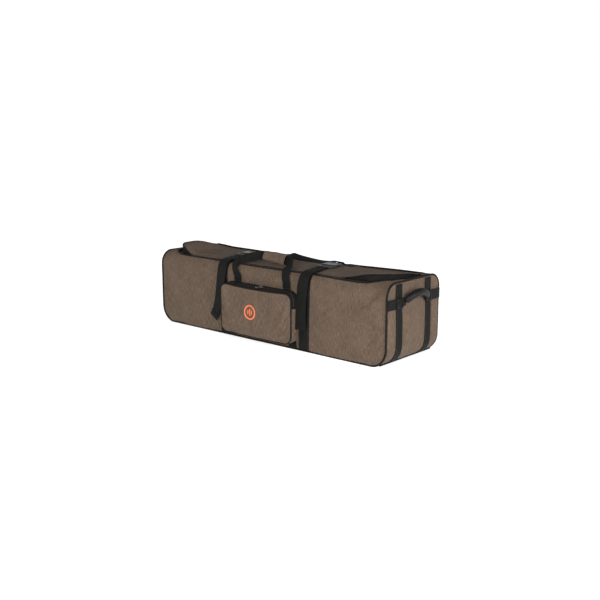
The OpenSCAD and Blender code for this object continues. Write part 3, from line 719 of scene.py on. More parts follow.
def bottom_panel():
    flat = HALF_L - BEND
    s = np.linspace(-(flat + 0.041), flat + 0.041, 150)
    a = np.clip((np.abs(s) - flat) / BEND, 0, np.pi / 2)
    x = np.sign(s) * (np.minimum(np.abs(s), flat) + BEND * np.sin(a))
    z = BEND * (1 - np.cos(a))
    y = np.linspace(-HALF_D + 0.002, HALF_D - 0.002, 34)
    edge = smoothstep(0, 0.02, HALF_D - np.abs(y))
    lift = 0.0024 + 0.0016 * (1 - edge)
    grid = surface(x[:, None], y[None, :], z[:, None] + lift[None, :])
    grid[..., 2] += 0.0006 * ripple(grid, 25, 5)
    uv = np.stack(np.broadcast_arrays(s[:, None], y[None, :]), -1)
    obj = slab("bottom_panel_cloth", grid, uv, 0.0070, COATED, (0, 0, 0.15))
    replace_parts(obj, "bottom_panel", "foam_bottom")
    put(obj, "bag")


def opening_rims():
    for s, name in ((-1, "left"), (1, "right")):
        y = np.linspace(FRONT_EDGE + CORNER - 0.004, BACK_EDGE, 50)
        x = np.linspace(OPEN_X, HALF_L - 0.002, 6)
        z = end_top(y)[None, :] + 0.0012 * np.sin(np.linspace(0, np.pi, 6))[:, None]
        grid = surface(s * x[:, None], y[None, :], z)
        uv = grid[..., :2].copy()
        obj = slab(f"{name}_opening_rim", grid, uv, 0.0085, BROWN, (0, 0, 0.15))
        put(obj, "bag")


def lining():
    parts = []
    for side, name in ((-1, "front"), (1, "back")):
        grid, uv = side_grid(side, 0.0100, 0.0, 90, 26)
        grid[..., 1] -= side * 0.0015 * (ripple(grid, 14, 31 + side) + 0.4)
        parts.append(slab(f"lining_{name}", grid, uv, 0.0010, LINING, (0, 0, 0.15)))
    for s, name in ((-1, "left"), (1, "right")):
        grid, uv = end_grid(0.0100, 0.0, 0.0, 30, 30)
        grid = mirrored(grid, s)
        grid[..., 0] -= s * 0.0012 * (ripple(grid, 14, 37 + s) + 0.4)
        parts.append(slab(f"lining_{name}", grid, uv, 0.0010, LINING, (0, 0, 0.15)))
    x = np.linspace(-(HALF_L - BEND), HALF_L - BEND, 60)
    y = np.linspace(-HALF_D + 0.010, HALF_D - 0.010, 24)
    grid = surface(x[:, None], y[None, :], 0.0100)
    parts.append(slab("lining_floor", grid, grid[..., :2].copy(), 0.0009, LINING, (0, 0, 0.15)))
    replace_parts(parts[0], "lining")
    for obj in parts:
        put(obj, "bag")


# ---- piping ----
def arc(centre, radius, start, end, count=14):
    a = np.radians(np.linspace(start, end, count))
    return np.stack([centre[0] + radius * np.cos(a), centre[1] + radius * np.sin(a)], -1)


def wander(line, size, seed):
    shift = np.stack([ripple(line, 9, seed + k) for k in range(3)], -1)
    return line + shift * size


def long_piping(side, name):
    r, x, z = BEND - 0.003, HALF_L - 0.003, TOP - SHOULDER
    right = arc((x - r, BEND), r, 0, -90)
    left = arc((-x + r, BEND), r, -90, -180)
    flat = np.concatenate([[[x, z]], right, left, [[-x, z]]])
    line = np.stack([flat[:, 0], np.full(len(flat), side * HALF_D), flat[:, 1]], -1)
    line = wander(resample(line, 0.008), 0.0006, 40 + side)
    line[:, 2] = np.maximum(line[:, 2], 0.0040)
    obj = tube(name + "_cord", line, 0.0040, PIPE)
    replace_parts(obj, name)
    put(obj, "bag")


def bottom_piping(s, name):
    """The cord where an end panel meets the black bottom, low on the bend."""
    y = np.linspace(-HALF_D + 0.004, HALF_D - 0.004, 60)
    line = mirrored(end_point(y, 0.041, 0.0, 0.0006, 0.0), s)
    put(tube(f"{name}_bottom_cord", wander(line, 0.0005, 55 + s), 0.0046, PIPE), "bag")


def top_piping(s, name):
    y, r = HALF_D - SHOULDER, SHOULDER
    front = arc((-y, TOP - r), r, 180, 90)
    back = arc((y, TOP - r), r, 90, 0)
    flat = np.concatenate([front, back])
    line = np.stack([np.full(len(flat), s * (HALF_L - 0.003)), flat[:, 0], flat[:, 1]], -1)
    line = wander(resample(line, 0.006), 0.0006, 50 + s)
    obj = tube(name + "_cord", line, 0.0040, PIPE)
    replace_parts(obj, name)
    put(obj, "bag")


# ---- opening, zipper and lid ----
def outline(inset, back=None, step=0.006):
    """The opening's outline seen from above, from the left hinge end round the front to the right one."""
    x, y, r = OPEN_X - inset, FRONT_EDGE + inset, CORNER - inset
    back = LID_BACK if back is None else back
    left = arc((-x + r, y + r), r, 180, 270, 30)
    right = arc((x - r, y + r), r, 270, 360, 30)
    return resample(np.concatenate([[[-x, back]], left, right, [[x, back]]]), step)


def outline_rows(insets, step=0.006):
    """Outlines at several insets with matching points."""
    first = outline(insets[0], step=step)
    share = lengths(first) / lengths(first)[-1]
    rows = []
    for inset in insets:
        line = outline(inset, step=step / 4)
        along = lengths(line) / lengths(line)[-1]
        rows.append(np.stack([np.interp(share, along, line[:, k]) for k in (0, 1)], -1))
    return rows


def rim_z(x, y):
    """Height of the shell's edge round the opening."""
    sag = front_sag(x) * smoothstep(-0.11, -0.14, y)
    return end_top(y) - sag - 0.7 * back_droop(x) * smoothstep(0.11, 0.14, y)


def lid_edge_z(x, y):
    """Height of the lid's upper edge: low in front, proud at the left and gaping at the right."""
    rise = RISE * smoothstep(-0.440, -0.515, x) * (1 - smoothstep(-0.015, 0.155, y))
    gape = 0.021 * smoothstep(0.325, 0.53, x) * smoothstep(0.150, -0.110, y)
    hug = 0.0092 * smoothstep(-0.080, -0.116, y) * smoothstep(0.50, 0.36, x)
    hug = hug * (1 - 0.35 * bell(np.abs(x), STRAP_X, 0.034))
    droop = (back_droop(x) + 0.004 * smoothstep(-0.58, -0.45, x)) * smoothstep(0.030, 0.105, y)
    return LID_TOP + rise + gape - hug - droop


def lid_low_z(x, y):
    """Height of the lid's underside, which stays below its pad."""
    return np.minimum(LID_LOW, lid_edge_z(x, y) - 0.0085)


def lid_crown(x, t):
    """How far the padded lid swells above its edges."""
    middle = np.sin(np.pi * t) ** 0.7 * np.sin(np.pi * np.clip((x / LID_X + 1) / 2, 0, 1)) ** 0.35
    free = 1 - bell(np.abs(x), STRAP_X, 0.036)
    high = 0.0050 - 0.0035 * bell(x, 0.05, 0.24) + 0.002 * smoothstep(-0.29, -0.42, x)
    return high * middle * free, middle * free


def zipper():
    rows = outline_rows([0.0, 0.006, 0.0115])
    edge = rim_z(rows[0][:, 0], rows[0][:, 1]) - 0.0015
    heights = [edge, edge * 0.35 + ZIP_Z * 0.65, edge * 0 + ZIP_Z]
    grid = np.stack([np.column_stack([r, z]) for r, z in zip(rows, heights)], 1)
    body = slab("body_zipper_band", grid, band_uv(grid), 0.0010, TAPE, (0, 0, 0.1), 0)
    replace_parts(put(body, "bag"), "body_zipper_tape")
    rows = outline_rows([0.0125, 0.018, 0.0242])
    grid = np.stack([np.column_stack([r, np.full(len(r), ZIP_Z)]) for r in rows], 1)
    lid = slab("lid_zipper_band", grid, band_uv(grid), 0.0010, TAPE, (0, 0, 0.1), 0)
    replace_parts(put(lid, "lid"), "lid_zipper_tape")
    for inset, body_name, name in ((0.0109, "bag", "body_zipper_teeth"), (0.0131, "lid", "lid_zipper_teeth")):
        line = resample(outline(inset), 0.0028)
        line = np.column_stack([line, np.full(len(line), ZIP_Z + 0.0010)])
        if body_name == "lid":
            line = (line[1:] + line[:-1]) / 2
        along = unit(np.gradient(line, axis=0))
        side = unit(np.cross(along, [0, 0, 1.0]))
        obj = blocks(name, line, along * 0.0008, side * 0.0015, np.array([0, 0, 0.0008]) + 0 * line, NYLON)
        put(obj, body_name)
    line = outline(-0.0002, BACK_EDGE, 0.005)
    line = np.column_stack([line, rim_z(line[:, 0], line[:, 1]) + 0.0002])
    put(tube("opening_binding", line, 0.0022, PIPE, 8), "bag")
    seam = outline(0.0035, BACK_EDGE, 0.005)
    z = rim_z(seam[:, 0], seam[:, 1]) * 0.72 + ZIP_Z * 0.28 + 0.0006
    put(stitches("opening_stitches", np.column_stack([seam, z]), (0, 0, 1), SEW_BLACK), "bag")


def band_uv(grid):
    along = lengths(grid[:, 0])
    across = np.linalg.norm(grid - grid[:, :1], axis=-1)
    return np.stack([across, np.broadcast_to(along[:, None], across.shape)], -1)


def lid_grid(nx=130, ny=34):
    a = np.linspace(-1, 1, nx)
    x = LID_X * (0.72 * a + 0.28 * np.sin(a * np.pi / 2))
    r = CORNER - BAND
    d = np.clip(np.abs(x) - (LID_X - r), 0, r)
    front = LID_FRONT + r - np.sqrt(np.maximum(r**2 - d**2, 0))
    t = np.linspace(0, 1, ny)
    y = front[:, None] + (LID_BACK - front)[:, None] * t[None, :]
    xx = np.broadcast_to(x[:, None], y.shape)
    return xx, y, t


def lid_top():
    x, y, t = lid_grid()
    crown, free = lid_crown(x, t[None, :])
    grid = np.stack([x, y, lid_edge_z(x, y) + crown], -1)
    grid[..., 2] += 0.0026 * ripple(grid * np.array([1.0, 0.5, 0]), 12, 61) * free
    pins = hold(border(x.shape), np.abs(np.abs(x) - STRAP_X) < 0.031)
    grid = settle(grid, pins, 1.6, 0.005, (0, 0, 0), slack=0.012, gravity=0.3)
    keep = (np.abs(np.abs(x) - STRAP_X) < 0.036) & (grid[..., 2] > LID_TOP - 0.0002)
    grid[..., 2] = np.where(keep, LID_TOP - 0.0002, grid[..., 2])
    obj = slab("lid_top_cloth", grid, np.stack([x, y], -1), 0.0055, BROWN, (0, 0, 0))
    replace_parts(obj, "lid_cover", "lid_pad")
    put(obj, "lid")


def lid_outline(step=0.006):
    """Closed outline of the lid with its edge height, back side included."""
    line = outline(BAND, step=step)
    back = resample(np.array([line[-1], line[0]]), step)[1:-1]
    flat = np.concatenate([line, back])
    return flat, lid_edge_z(flat[:, 0], flat[:, 1])


def lid_wall():
    flat, top = lid_outline()
    n = len(flat)
    t = np.linspace(0, 1, 8)
    low = lid_low_z(flat[:, 0], flat[:, 1])
    z = top[:, None] - 0.0006 + (low + 0.0006 - top)[:, None] * t[None, :]
    bulge = 0.0014 * np.sin(np.pi * t)
    out = np.stack([np.gradient(flat[:, 1]), -np.gradient(flat[:, 0])], -1)
    out = unit(out)
    outer = np.concatenate(
        [flat[:, None] + out[:, None] * bulge[None, :, None], z[..., None]], -1
    )
    inner = outer - np.concatenate([out, np.zeros((n, 1))], 1)[:, None] * 0.003
    rings = np.concatenate([outer, inner[:, ::-1]], 1)
    rings = np.concatenate([rings, rings[:1]])
    v = lengths(np.concatenate([flat, flat[:1]]))
    u = np.concatenate([z, z[:, ::-1]], 1)
    u = np.concatenate([u, u[:1]])
    uv = np.stack([u, np.broadcast_to(v[:, None], u.shape)], -1)
    obj = closed_strip("lid_side_wall", rings, uv, COATED)
    put(obj, "lid")


def lid_underside():
    x, y, t = lid_grid(90, 22)
    grid = np.stack([x, y, lid_low_z(x, y)], -1)
    inside = np.sin(np.pi * t)[None, :] * np.sin(np.pi * np.clip((x / LID_X + 1) / 2, 0, 1)) ** 0.5
    grid[..., 2] -= (0.004 + 0.002 * ripple(grid, 13, 71)) * inside
    obj = slab("lid_lining_cloth", grid, np.stack([x, y], -1), 0.0010, LINING, (0, 0, 1))
    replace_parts(put(obj, "lid"), "lid_lining")


def lid_piping():
    line = outline(BAND - 0.0022, step=0.005)
    z = lid_edge_z(line[:, 0], line[:, 1]) - 0.0016
    obj = tube("lid_piping_cord", wander(np.column_stack([line, z]), 0.0004, 81), 0.0030, PIPE)
    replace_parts(put(obj, "lid"), "lid_piping")
    seam = outline(BAND + 0.004, step=0.005)
    z = lid_edge_z(seam[:, 0], seam[:, 1]) + 0.0012
    clear = np.abs(np.abs(seam[:, 0]) - STRAP_X) > 0.03
    sewn = stitches("lid_edge_stitches", np.column_stack([seam, z])[clear], (0, 0, 1), SEW_BROWN)
    put(sewn, "lid")


def hinge():
    x = np.linspace(-LID_X + 0.001, LID_X - 0.001, 120)
    y = np.linspace(LID_BACK - 0.010, BACK_EDGE + 0.008, 10)
    share = smoothstep(LID_BACK - 0.004, BACK_EDGE + 0.004, y)
    on_lid = lid_edge_z(x[:, None], np.minimum(y, LID_BACK)[None, :])
    z = on_lid * (1 - share) + rim_z(x[:, None], y[None, :]) * share
    z = z + 0.0008 + 0.0016 * np.sin(np.linspace(0, np.pi, 10))[None, :]
    grid = surface(x[:, None], y[None, :], z)
    uv = np.stack([grid[..., 1], grid[..., 0]], -1)
    obj = slab("hinge_cloth", grid, uv, 0.0012, COATED, (0, 0, 0.1), 0)
    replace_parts(obj, "hinge_binding")
    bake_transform(obj)
    x = np.linspace(-LID_X + 0.004, LID_X - 0.004, 180)
    line = np.column_stack([x, np.full(180, LID_BACK - 0.012), lid_edge_z(x, LID_BACK - 0.012) + 0.0016])
    put(tube("lid_back_binding", wander(line, 0.0004, 83), 0.0032, PIPE, 8), "lid")


# ---- compression straps ----
def face_line(x, side, s_values, lift=0.0016, x_top=None):
    """Points up a long face at x, at heights counted along it from the bottom seam."""
    s = np.asarray(s_values, float)
    xs = x + ((x_top if x_top is not None else x) - x) * smoothstep(0.0, 0.25, s)
    reach = 0.020 if side < 0 else 0.025
    total = (TOP - SHOULDER) + SHOULDER * math.acos(1 - reach / SHOULDER)
    line = side_point(xs, s / total, side, 0.0, lift)
    return line


def shoulder_x(s):
    """Where a compression strap crosses the front shoulder: both lean a little to the right."""
    return s * STRAP_X + 0.002


def wrap_strap(s, name, low_x):
    """The sewn run: down the back, under the bottom and up the front to the shoulder."""
    heights = np.arange(0.012, 0.256, 0.012)
    x_top = s * STRAP_X
    x_front = shoulder_x(s)
    front = face_line(low_x, -1, heights, 0.0030, x_front)
    back = face_line(low_x, 1, heights, 0.0030, x_top)
    arc_front = face_line(low_x, -1, np.arange(0.262, 0.296, 0.006), 0.0016, x_front)
    arc_back = face_line(low_x, 1, np.arange(0.262, 0.300, 0.006), 0.0016, x_top)
    bottom_y = np.linspace(-HALF_D + 0.004, HALF_D - 0.004, 30)
    under = np.column_stack([np.full(30, low_x), bottom_y, np.full(30, 0.0012)])
    line = np.concatenate([arc_front[::-1], front[::-1], under, back, arc_back])
    line = resample(line, 0.005)
    obj = strap(name + "_webbing", line, (1, 0, 0), STRAP_W, 0.0018)
    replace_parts(put(obj, "bag"), name)
    edge_seams(name, front, STRAP_W, (0, -1, 0))
    edge_seams(name + "_back", back, STRAP_W, (0, 1, 0))


def edge_seams(name, line, width, up):
    for k in (-1, 1):
        seam = line + np.array([k * (width / 2 - 0.004), 0, 0]) + np.array(up) * 0.0009
        put(stitches(f"{name}_seam_{'left' if k < 0 else 'right'}", seam, up, SEW_BLACK), "bag")


def front_run(s, name):
    x, lean = s * STRAP_X, shoulder_x(s)
    points = [(lean, -0.1565, 0.2865), (lean, -0.1505, 0.2960), (lean, -0.140, 0.3020),
              (lean, -0.126, 0.3045), (x + 0.005, -0.108, 0.3062), (x, -0.085, 0.3078),
              (x, -0.060, 0.3092), (x, -0.050, 0.3125)]
    obj = strap(name + "_front_webbing", spline(points, 0.004), (1, 0, 0), RUN_W, 0.0018)
    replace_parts(put(obj, "bag"), name + "_front_run")
    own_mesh(obj)


def loose_tail(name, points, twist):
    line = spline(points, 0.005)
    share = lengths(line) / lengths(line)[-1]
    turn = np.radians(twist) * smoothstep(0.25, 1.0, share)
    sides = np.stack([np.cos(turn), np.sin(turn), np.zeros(len(turn))], -1)
    obj = strap(name + "_webbing", line, sides, RUN_W, 0.0019)
    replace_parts(put(obj, "bag"), name)
    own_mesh(obj)
    end = line[-6:] * 1.0
    hem = strap(name + "_hem", end, sides[-6:], STRAP_W, 0.0044)
    put(hem, "bag")
    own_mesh(hem)


def tails():
    loose_tail("left_strap_tail", [
        (-0.219, -0.060, 0.3128), (-0.2185, -0.100, 0.3098), (-0.2180, -0.132, 0.3078),
        (-0.2175, -0.1540, 0.3020), (-0.2165, -0.1685, 0.288), (-0.2170, -0.1760, 0.258),
        (-0.2200, -0.1790, 0.222), (-0.2290, -0.1795, 0.165),
        (-0.2440, -0.1780, 0.110), (-0.2670, -0.1765, 0.0655)], -9)
    loose_tail("right_strap_tail", [
        (0.219, -0.060, 0.3128), (0.2195, -0.100, 0.3098), (0.2200, -0.132, 0.3078),
        (0.2205, -0.1540, 0.3020), (0.2200, -0.1690, 0.288), (0.2180, -0.1780, 0.256),
        (0.2150, -0.1765, 0.228), (0.2115, -0.1800, 0.195),
        (0.2110, -0.1815, 0.140), (0.2120, -0.1830, 0.088)], 7)


def rear_run(s, name):
    x = s * STRAP_X
    low = 0.004 * smoothstep(-0.58, -0.45, x) + back_droop(x)
    points = [(x, 0.016, 0.3082), (x, 0.040, 0.3080 - 0.1 * low), (x, 0.080, 0.3088 - 0.8 * low),
              (x, 0.120, 0.3092 - low), (x, 0.138, 0.3085 - low), (x, 0.147, 0.3035 - 0.8 * low),
              (x, 0.1555, 0.2935 - 0.3 * low), (x, 0.1615, 0.280)]
    obj = strap(name + "_rear_webbing", spline(points, 0.004), (1, 0, 0), RUN_W, 0.0018)
    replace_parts(obj, name + "_rear_run")
    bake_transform(obj)


# ---- carry handles ----
def leg_x(z):
    return LEG_X - (LEG_X - LEG_TOP_X) * z / LEG_TOP_Z


def handle_legs():
    for s, name in ((-1, "left_handle_run"), (1, "right_handle_run")):
        lines = []
        for side in (-1, 1):
            z = np.linspace(0.012, 0.2405, 24)
            x = s * leg_x(z)
            face = face_line(x, side, z, 0.0030)
            lines.append(np.column_stack([x, face[:, 1], face[:, 2]]))
        y = np.linspace(-HALF_D + 0.004, HALF_D - 0.004, 30)
        under = np.column_stack([np.full(30, s * LEG_X), y, np.full(30, 0.0012)])
        line = resample(np.concatenate([lines[0][::-1], under, lines[1]]), 0.005)
        obj = strap(name + "_webbing", line, (1, 0, 0), HANDLE_W, 0.0019)
        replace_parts(put(obj, "bag"), name)
        for side, face in ((-1, lines[0]), (1, lines[1])):
            box_seam(f"{name}_{'front' if side < 0 else 'back'}_box", face[-5:, :], side)


def crossed_square(w, h):
    """Corners of a square seam with one diagonal."""
    return [(-w, -h), (w, -h), (w, h), (-w, h), (-w, -h), (w, h)]


def box_seam(name, face, side):
    """The square of stitches, with one diagonal, near the top of a sewn handle leg."""
    c = face.mean(0) + np.array([0, side * 0.0012, 0])
    line = np.array([[c[0] + a, c[1], c[2] + b] for a, b in crossed_square(0.014, 0.013)])
    put(stitches(name, resample(line, 0.004), (0, side, 0), SEW_BLACK), "bag")


def loop(name, body, points, sides, node, anchor_y):
    line = spline(points, 0.004)
    share = lengths(line) / lengths(line)[-1]
    along = lengths(np.asarray(points, float))
    stops = along / along[-1]
    side = unit(np.stack([np.interp(share, stops, np.array(sides, float)[:, k]) for k in range(3)], -1))
    obj = strap(name, line, side, HANDLE_W, 0.0022)
    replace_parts(put(obj, body), node)
    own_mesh(obj)


def front_handle():
    leg, top = (1, 0, 0), (0, -0.5, -0.87)
    left = [(-0.1300, -0.1706, 0.2375), (-0.1320, -0.1702, 0.252), (-0.1420, -0.1710, 0.268),
            (-0.1500, -0.1670, 0.288), (-0.1440, -0.1540, 0.3080), (-0.1180, -0.1320, 0.3200),
            (-0.0880, -0.1080, 0.3290), (-0.0580, -0.0900, 0.3330)]
    left_sides = [leg, leg, (1, -0.25, -0.1), (0.9, -0.4, -0.4), (0.5, -0.5, -0.8),
                  (0.15, -0.5, -0.87), top, top]
    right = [(0.0580, -0.0890, 0.3250), (0.0860, -0.1020, 0.3200), (0.1060, -0.1290, 0.3130),
             (0.1160, -0.1530, 0.2990), (0.1230, -0.1670, 0.276), (0.1300, -0.1702, 0.255),
             (0.1300, -0.1706, 0.2375)]
    right_sides = [top, (-0.3, -0.6, -0.8), (-0.8, -0.6, -0.5), (-1, -0.2, -0.1), (-1, 0.1, 0),
                   (-1, 0, 0), (-1, 0, 0)]
    loop("front_handle_webbing", "front_handle", left + [(0.0, -0.0860, 0.3295)] + right,
         left_sides + [top] + right_sides, "front_handle_loop", -0.171)


def resting(x, y, lift):
    """A point above the lid's surface."""
    return (x, y, float(lid_edge_z(np.array(x), np.array(y))) + lift)


def rear_handle():
    legs = [(-1, 0, 0), (-1, 0, 0), (-1, 0.1, 0), (-1, -0.3, 0)]
    left = [(-0.1300, 0.1706, 0.2375), (-0.1300, 0.1702, 0.256), (-0.1290, 0.1660, 0.280),
            (-0.1260, 0.1520, 0.3000), resting(-0.114, 0.124, 0.0095), resting(-0.090, 0.088, 0.0130)]
    left_sides = legs + [(-0.8, -0.7, -0.1), (-0.3, -1, -0.3)]
    middle = [resting(-0.050, 0.066, 0.0140), resting(-0.010, 0.064, 0.0105), resting(0.040, 0.074, 0.0085)]
    middle_sides = [(0, -0.9, -0.45), (0, -0.95, -0.35), (0.1, -1, -0.2)]
    right = [resting(0.085, 0.092, 0.0080), resting(0.116, 0.116, 0.0080), resting(0.131, 0.138, 0.0080),
             (0.1330, 0.1570, 0.2950), (0.1325, 0.1660, 0.280), (0.1310, 0.1702, 0.256),
             (0.1300, 0.1706, 0.2375)]
    right_sides = [(0.4, -1, -0.1), (0.9, -0.7, 0), (1, -0.3, 0), (1, 0, 0), (1, 0, 0), (1, 0, 0), (1, 0, 0)]
    loop("rear_handle_webbing", "rear_handle", left + middle + right,
         left_sides + middle_sides + right_sides, "rear_handle_loop", 0.171)


def sleeve_section(a, wide, high):
    """Superellipse section of the grip wrap at angle a."""
    c, s = np.cos(a), np.sin(a)
    y = wide * np.sign(c) * np.abs(c) ** 0.75
    z = high * np.sign(s) * np.abs(s) ** 0.75
    return y, z


def grip_wrap():
    length, n = 0.116, 44
    x = np.linspace(-length / 2, length / 2, n)
    plump = 0.93 - 0.10 * (2 * x / length) ** 8 + 0.03 * np.cos(x * 2 * np.pi / 0.05) + 1.9 * x
    centre_y = -0.0870 - 0.96 * x**2
    centre_z = 0.3295 - 0.068 * x
    lean = math.radians(60)
    for name, body, node, start, end, grow in (
        ("grip_wrap_cloth", "front_handle", "grip_wrap", 158, 382, 0.0),
        ("grip_flap_cloth", "wrap_flap", "grip_wrap_flap", 18, 212, 0.0022),
    ):
        a = np.radians(np.linspace(start, end, 32))
        p, q = sleeve_section(a, 0.0215 + grow, 0.0100 + grow)
        y, z = p * math.cos(lean) - q * math.sin(lean), p * math.sin(lean) + q * math.cos(lean)
        yy = centre_y[:, None] + y[None, :] * plump[:, None]
        zz = centre_z[:, None] + z[None, :] * plump[:, None]
        grid = np.stack([np.broadcast_to(x[:, None], yy.shape), yy, zz], -1)
        grid[..., 2] += 0.0007 * ripple(grid, 60, 91)
        uv = np.stack(np.broadcast_arrays(x[:, None], (a * 0.018)[None, :]), -1)
        obj = slab(name, grid, uv, 0.0026, BROWN, (0, -0.0870, 0.3295))
        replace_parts(put(obj, body), node)
        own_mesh(obj)
        rim = grid[:, -2] if name == "grip_flap_cloth" else grid[:, 1]
        seam = stitches(name + "_seam", rim[1:-1] * 1.0, (0, -0.6, 0.6), SEW_BROWN)
        put(seam, body)
        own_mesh(seam)


# ---- end panels: webbing and grips ----
def end_webbing(s, name):
    level = GRIP_S
    for k, side in ((-1, "front"), (1, "rear")):
        heights = np.arange(0.016, 0.352, 0.006)
        y = k * END_STRAP_Y - STRAP_SHIFT + 0.0022 * np.sin(heights * 19 + k) * smoothstep(0.30, 0.1, heights)
        line = mirrored(end_point(y, heights, 0.0, 0.0030), s)
        line[:, 2] = np.maximum(line[:, 2], 0.0030)
        line = line[line[:, 2] < end_top(line[:, 1]) + 0.0005]
        obj = strap(f"{name}_end_strap_{side}", line, (0, 1, 0), HANDLE_W, 0.0018)
        put(obj, "bag")
        if k < 0 and s < 0:
            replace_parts(obj, "end_straps")
        for m in (-1, 1):
            seam = line + np.array([s * 0.0009, m * 0.0155, 0])
            put(stitches(f"{name}_{side}_strap_seam_{m + 1}", seam, (s, 0, 0), SEW_BLACK), "bag")
        square_patch(s, k * END_STRAP_Y - STRAP_SHIFT, f"{name}_{side}")
        y = k * np.linspace(0.073 - k * STRAP_SHIFT, HALF_D - 0.0005, 14)
        lift = 0.0030 + 0.0022 * bell(y, k * END_STRAP_Y - STRAP_SHIFT, 0.026)
        line = mirrored(end_point(y, level, 0.0, lift), s)
        band = strap(f"{name}_end_band_{side}", line, (0, 0, 1), HANDLE_W, 0.0018)
        put(band, "bag")
        if k < 0 and s < 0:
            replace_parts(band, "end_bands")


def square_patch(s, y0, name):
    y = np.linspace(y0 - 0.0195, y0 + 0.0195, 9)
    p = mirrored(end_point(y, GRIP_S, 0.0, 0.0072), s)
    obj = strap(name + "_grip_patch", p, (0, 0, 1), 0.039, 0.0022)
    put(obj, "bag")
    if name == "left_front":
        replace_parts(obj, "end_patches")
    c = p.mean(0)
    c[0] = p[:, 0].min() - 0.0010 if s < 0 else p[:, 0].max() + 0.0010
    line = np.array([[c[0], c[1] + a, c[2] + b] for a, b in crossed_square(0.0150, 0.0150)])
    put(stitches(name + "_patch_seam", resample(line, 0.004), (s, 0, 0), SEW_BLACK), "bag")


def end_grip(s, body, node):
    """The arched padded sleeve with its webbing ends and sewn tabs."""
    pin_x, half, rise, tilt = HALF_L + 0.0108, 0.071, 0.042, math.radians(52)
    radius = (half**2 + rise**2) / (2 * rise)
    sweep = math.asin(half / radius)
    a = np.linspace(-sweep, sweep, 70)
    out = rise - radius + radius * np.cos(a)
    y = radius * np.sin(a)
    line = np.column_stack([pin_x + out * math.cos(tilt), y, GRIP_Z + out * math.sin(tilt)])
    line[:, 0] *= s
    line[:, 1] -= STRAP_SHIFT + 0.010 * out / rise
    core = tube(node + "_webbing", line, 0.0042, STRAP, 12)
    put(core, body)
    keep = np.abs(a) < sweep * 0.91
    share = a[keep] / (sweep * 0.91)
    girth = 0.0135 * (1 - 0.22 * np.abs(share) ** 7) + 0.0005 * np.cos(share * 42)
    sleeve = tube(node + "_sleeve", line[keep], girth, GRIP, 24)
    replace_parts(put(sleeve, body), node)
    for k in (-1, 1):
        ring = line[keep][6 if k < 0 else -7]
        nxt = line[keep][7 if k < 0 else -6]
        axis = unit(nxt - ring)
        middle = np.array([ring + axis * t for t in np.linspace(-0.003, 0.003, 5)])
        plump = np.array([0.0112, 0.0126, 0.0130, 0.0126, 0.0112])
        cuff = tube(f"{node}_cuff_{k + 1}", middle, plump, STRAP, 20)
        put(cuff, body)
        tab_y = np.linspace(k * 0.064, k * 0.084, 8) - STRAP_SHIFT
        tab = np.column_stack([np.full(8, s * pin_x), tab_y, np.full(8, GRIP_Z)])
        put(strap(f"{node}_tab_{k + 1}", tab, (0, 0, 1), 0.022, 0.0070), "bag")


# ---- pocket ----
def pocket_edges(x):
    d = np.clip(np.abs(x) - (POCKET_X - POCKET_R), 0, POCKET_R)
    cut = POCKET_R - np.sqrt(np.maximum(POCKET_R**2 - d**2, 0))
    return POCKET_LOW + cut, POCKET_TOP - cut


def pocket_dip(x, z):
    """How far the pocket's front upper edge droops below its zipper."""
    arch = np.cos(np.pi * np.clip(x / (2 * POCKET_X), -0.5, 0.5)) ** 0.5
    return 0.010 * smoothstep(0.185, POCKET_TOP, z) * arch


def pocket_front():
    a = np.linspace(-1, 1, 80)
    x = POCKET_X * (0.62 * a + 0.38 * np.sin(a * np.pi / 2)) * 0.9995
    low, high = pocket_edges(x)
    t = np.linspace(0, 1, 46)
    z = low[:, None] + (high - low)[:, None] * t[None, :]
    xx = np.broadcast_to(x[:, None], z.shape)
    u = np.clip((x / POCKET_X + 1) / 2, 0, 1)[:, None]
    swell = 0.0085 * np.sin(np.pi * t)[None, :] ** 0.6 * np.sin(np.pi * u) ** 0.45
    grid = np.stack([xx, POCKET_FRONT - swell + 0 * z, z - pocket_dip(xx, z)], -1)
    fade = np.sin(np.pi * t)[None, :] ** 0.5 * np.sin(np.pi * u) ** 0.5
    grid[..., 1] -= 0.0022 * ripple(grid * np.array([1, 0, 0.6]), 22, 101) * fade
    grid = settle(grid, border(z.shape), 2.0, 0.004, (0, 0, 0.13), slack=0.015, gravity=0.3)
    obj = slab("pocket_front_cloth", grid, np.stack([xx, z], -1), 0.0042, BROWN, (0, 0, 0.13))
    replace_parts(obj, "pocket_front", "pocket_flap")
    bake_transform(obj)
    return grid


def pocket_outline(inset, step=0.005):
    x, r = POCKET_X - inset, POCKET_R - inset
    low, high = POCKET_LOW + inset, POCKET_TOP - inset
    corners = [arc((-x + r, low + r), r, 180, 270), arc((x - r, low + r), r, 270, 360),
               arc((x - r, high - r), r, 0, 90), arc((-x + r, high - r), r, 90, 180)]
    flat = np.concatenate([*corners, corners[0][:1]])
    return resample(flat, step)


def pocket_cord():
    flat = pocket_outline(0.0)
    z = flat[:, 1] - pocket_dip(flat[:, 0], flat[:, 1])
    line = np.column_stack([flat[:, 0], np.full(len(flat), POCKET_FRONT + 0.0012), z])
    obj = tube("pocket_piping_cord", line, 0.0029, PIPE)
    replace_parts(obj, "pocket_piping", "pocket_flap_piping")
    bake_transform(obj)
    seam = pocket_outline(0.007)
    z = seam[:, 1] - pocket_dip(seam[:, 0], seam[:, 1])
    row = np.column_stack([seam[:, 0], np.full(len(seam), POCKET_FRONT - 0.0030), z])
    sewn = stitches("pocket_edge_stitches", row, (0, -1, 0), SEW_BROWN)
    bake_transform(sewn)


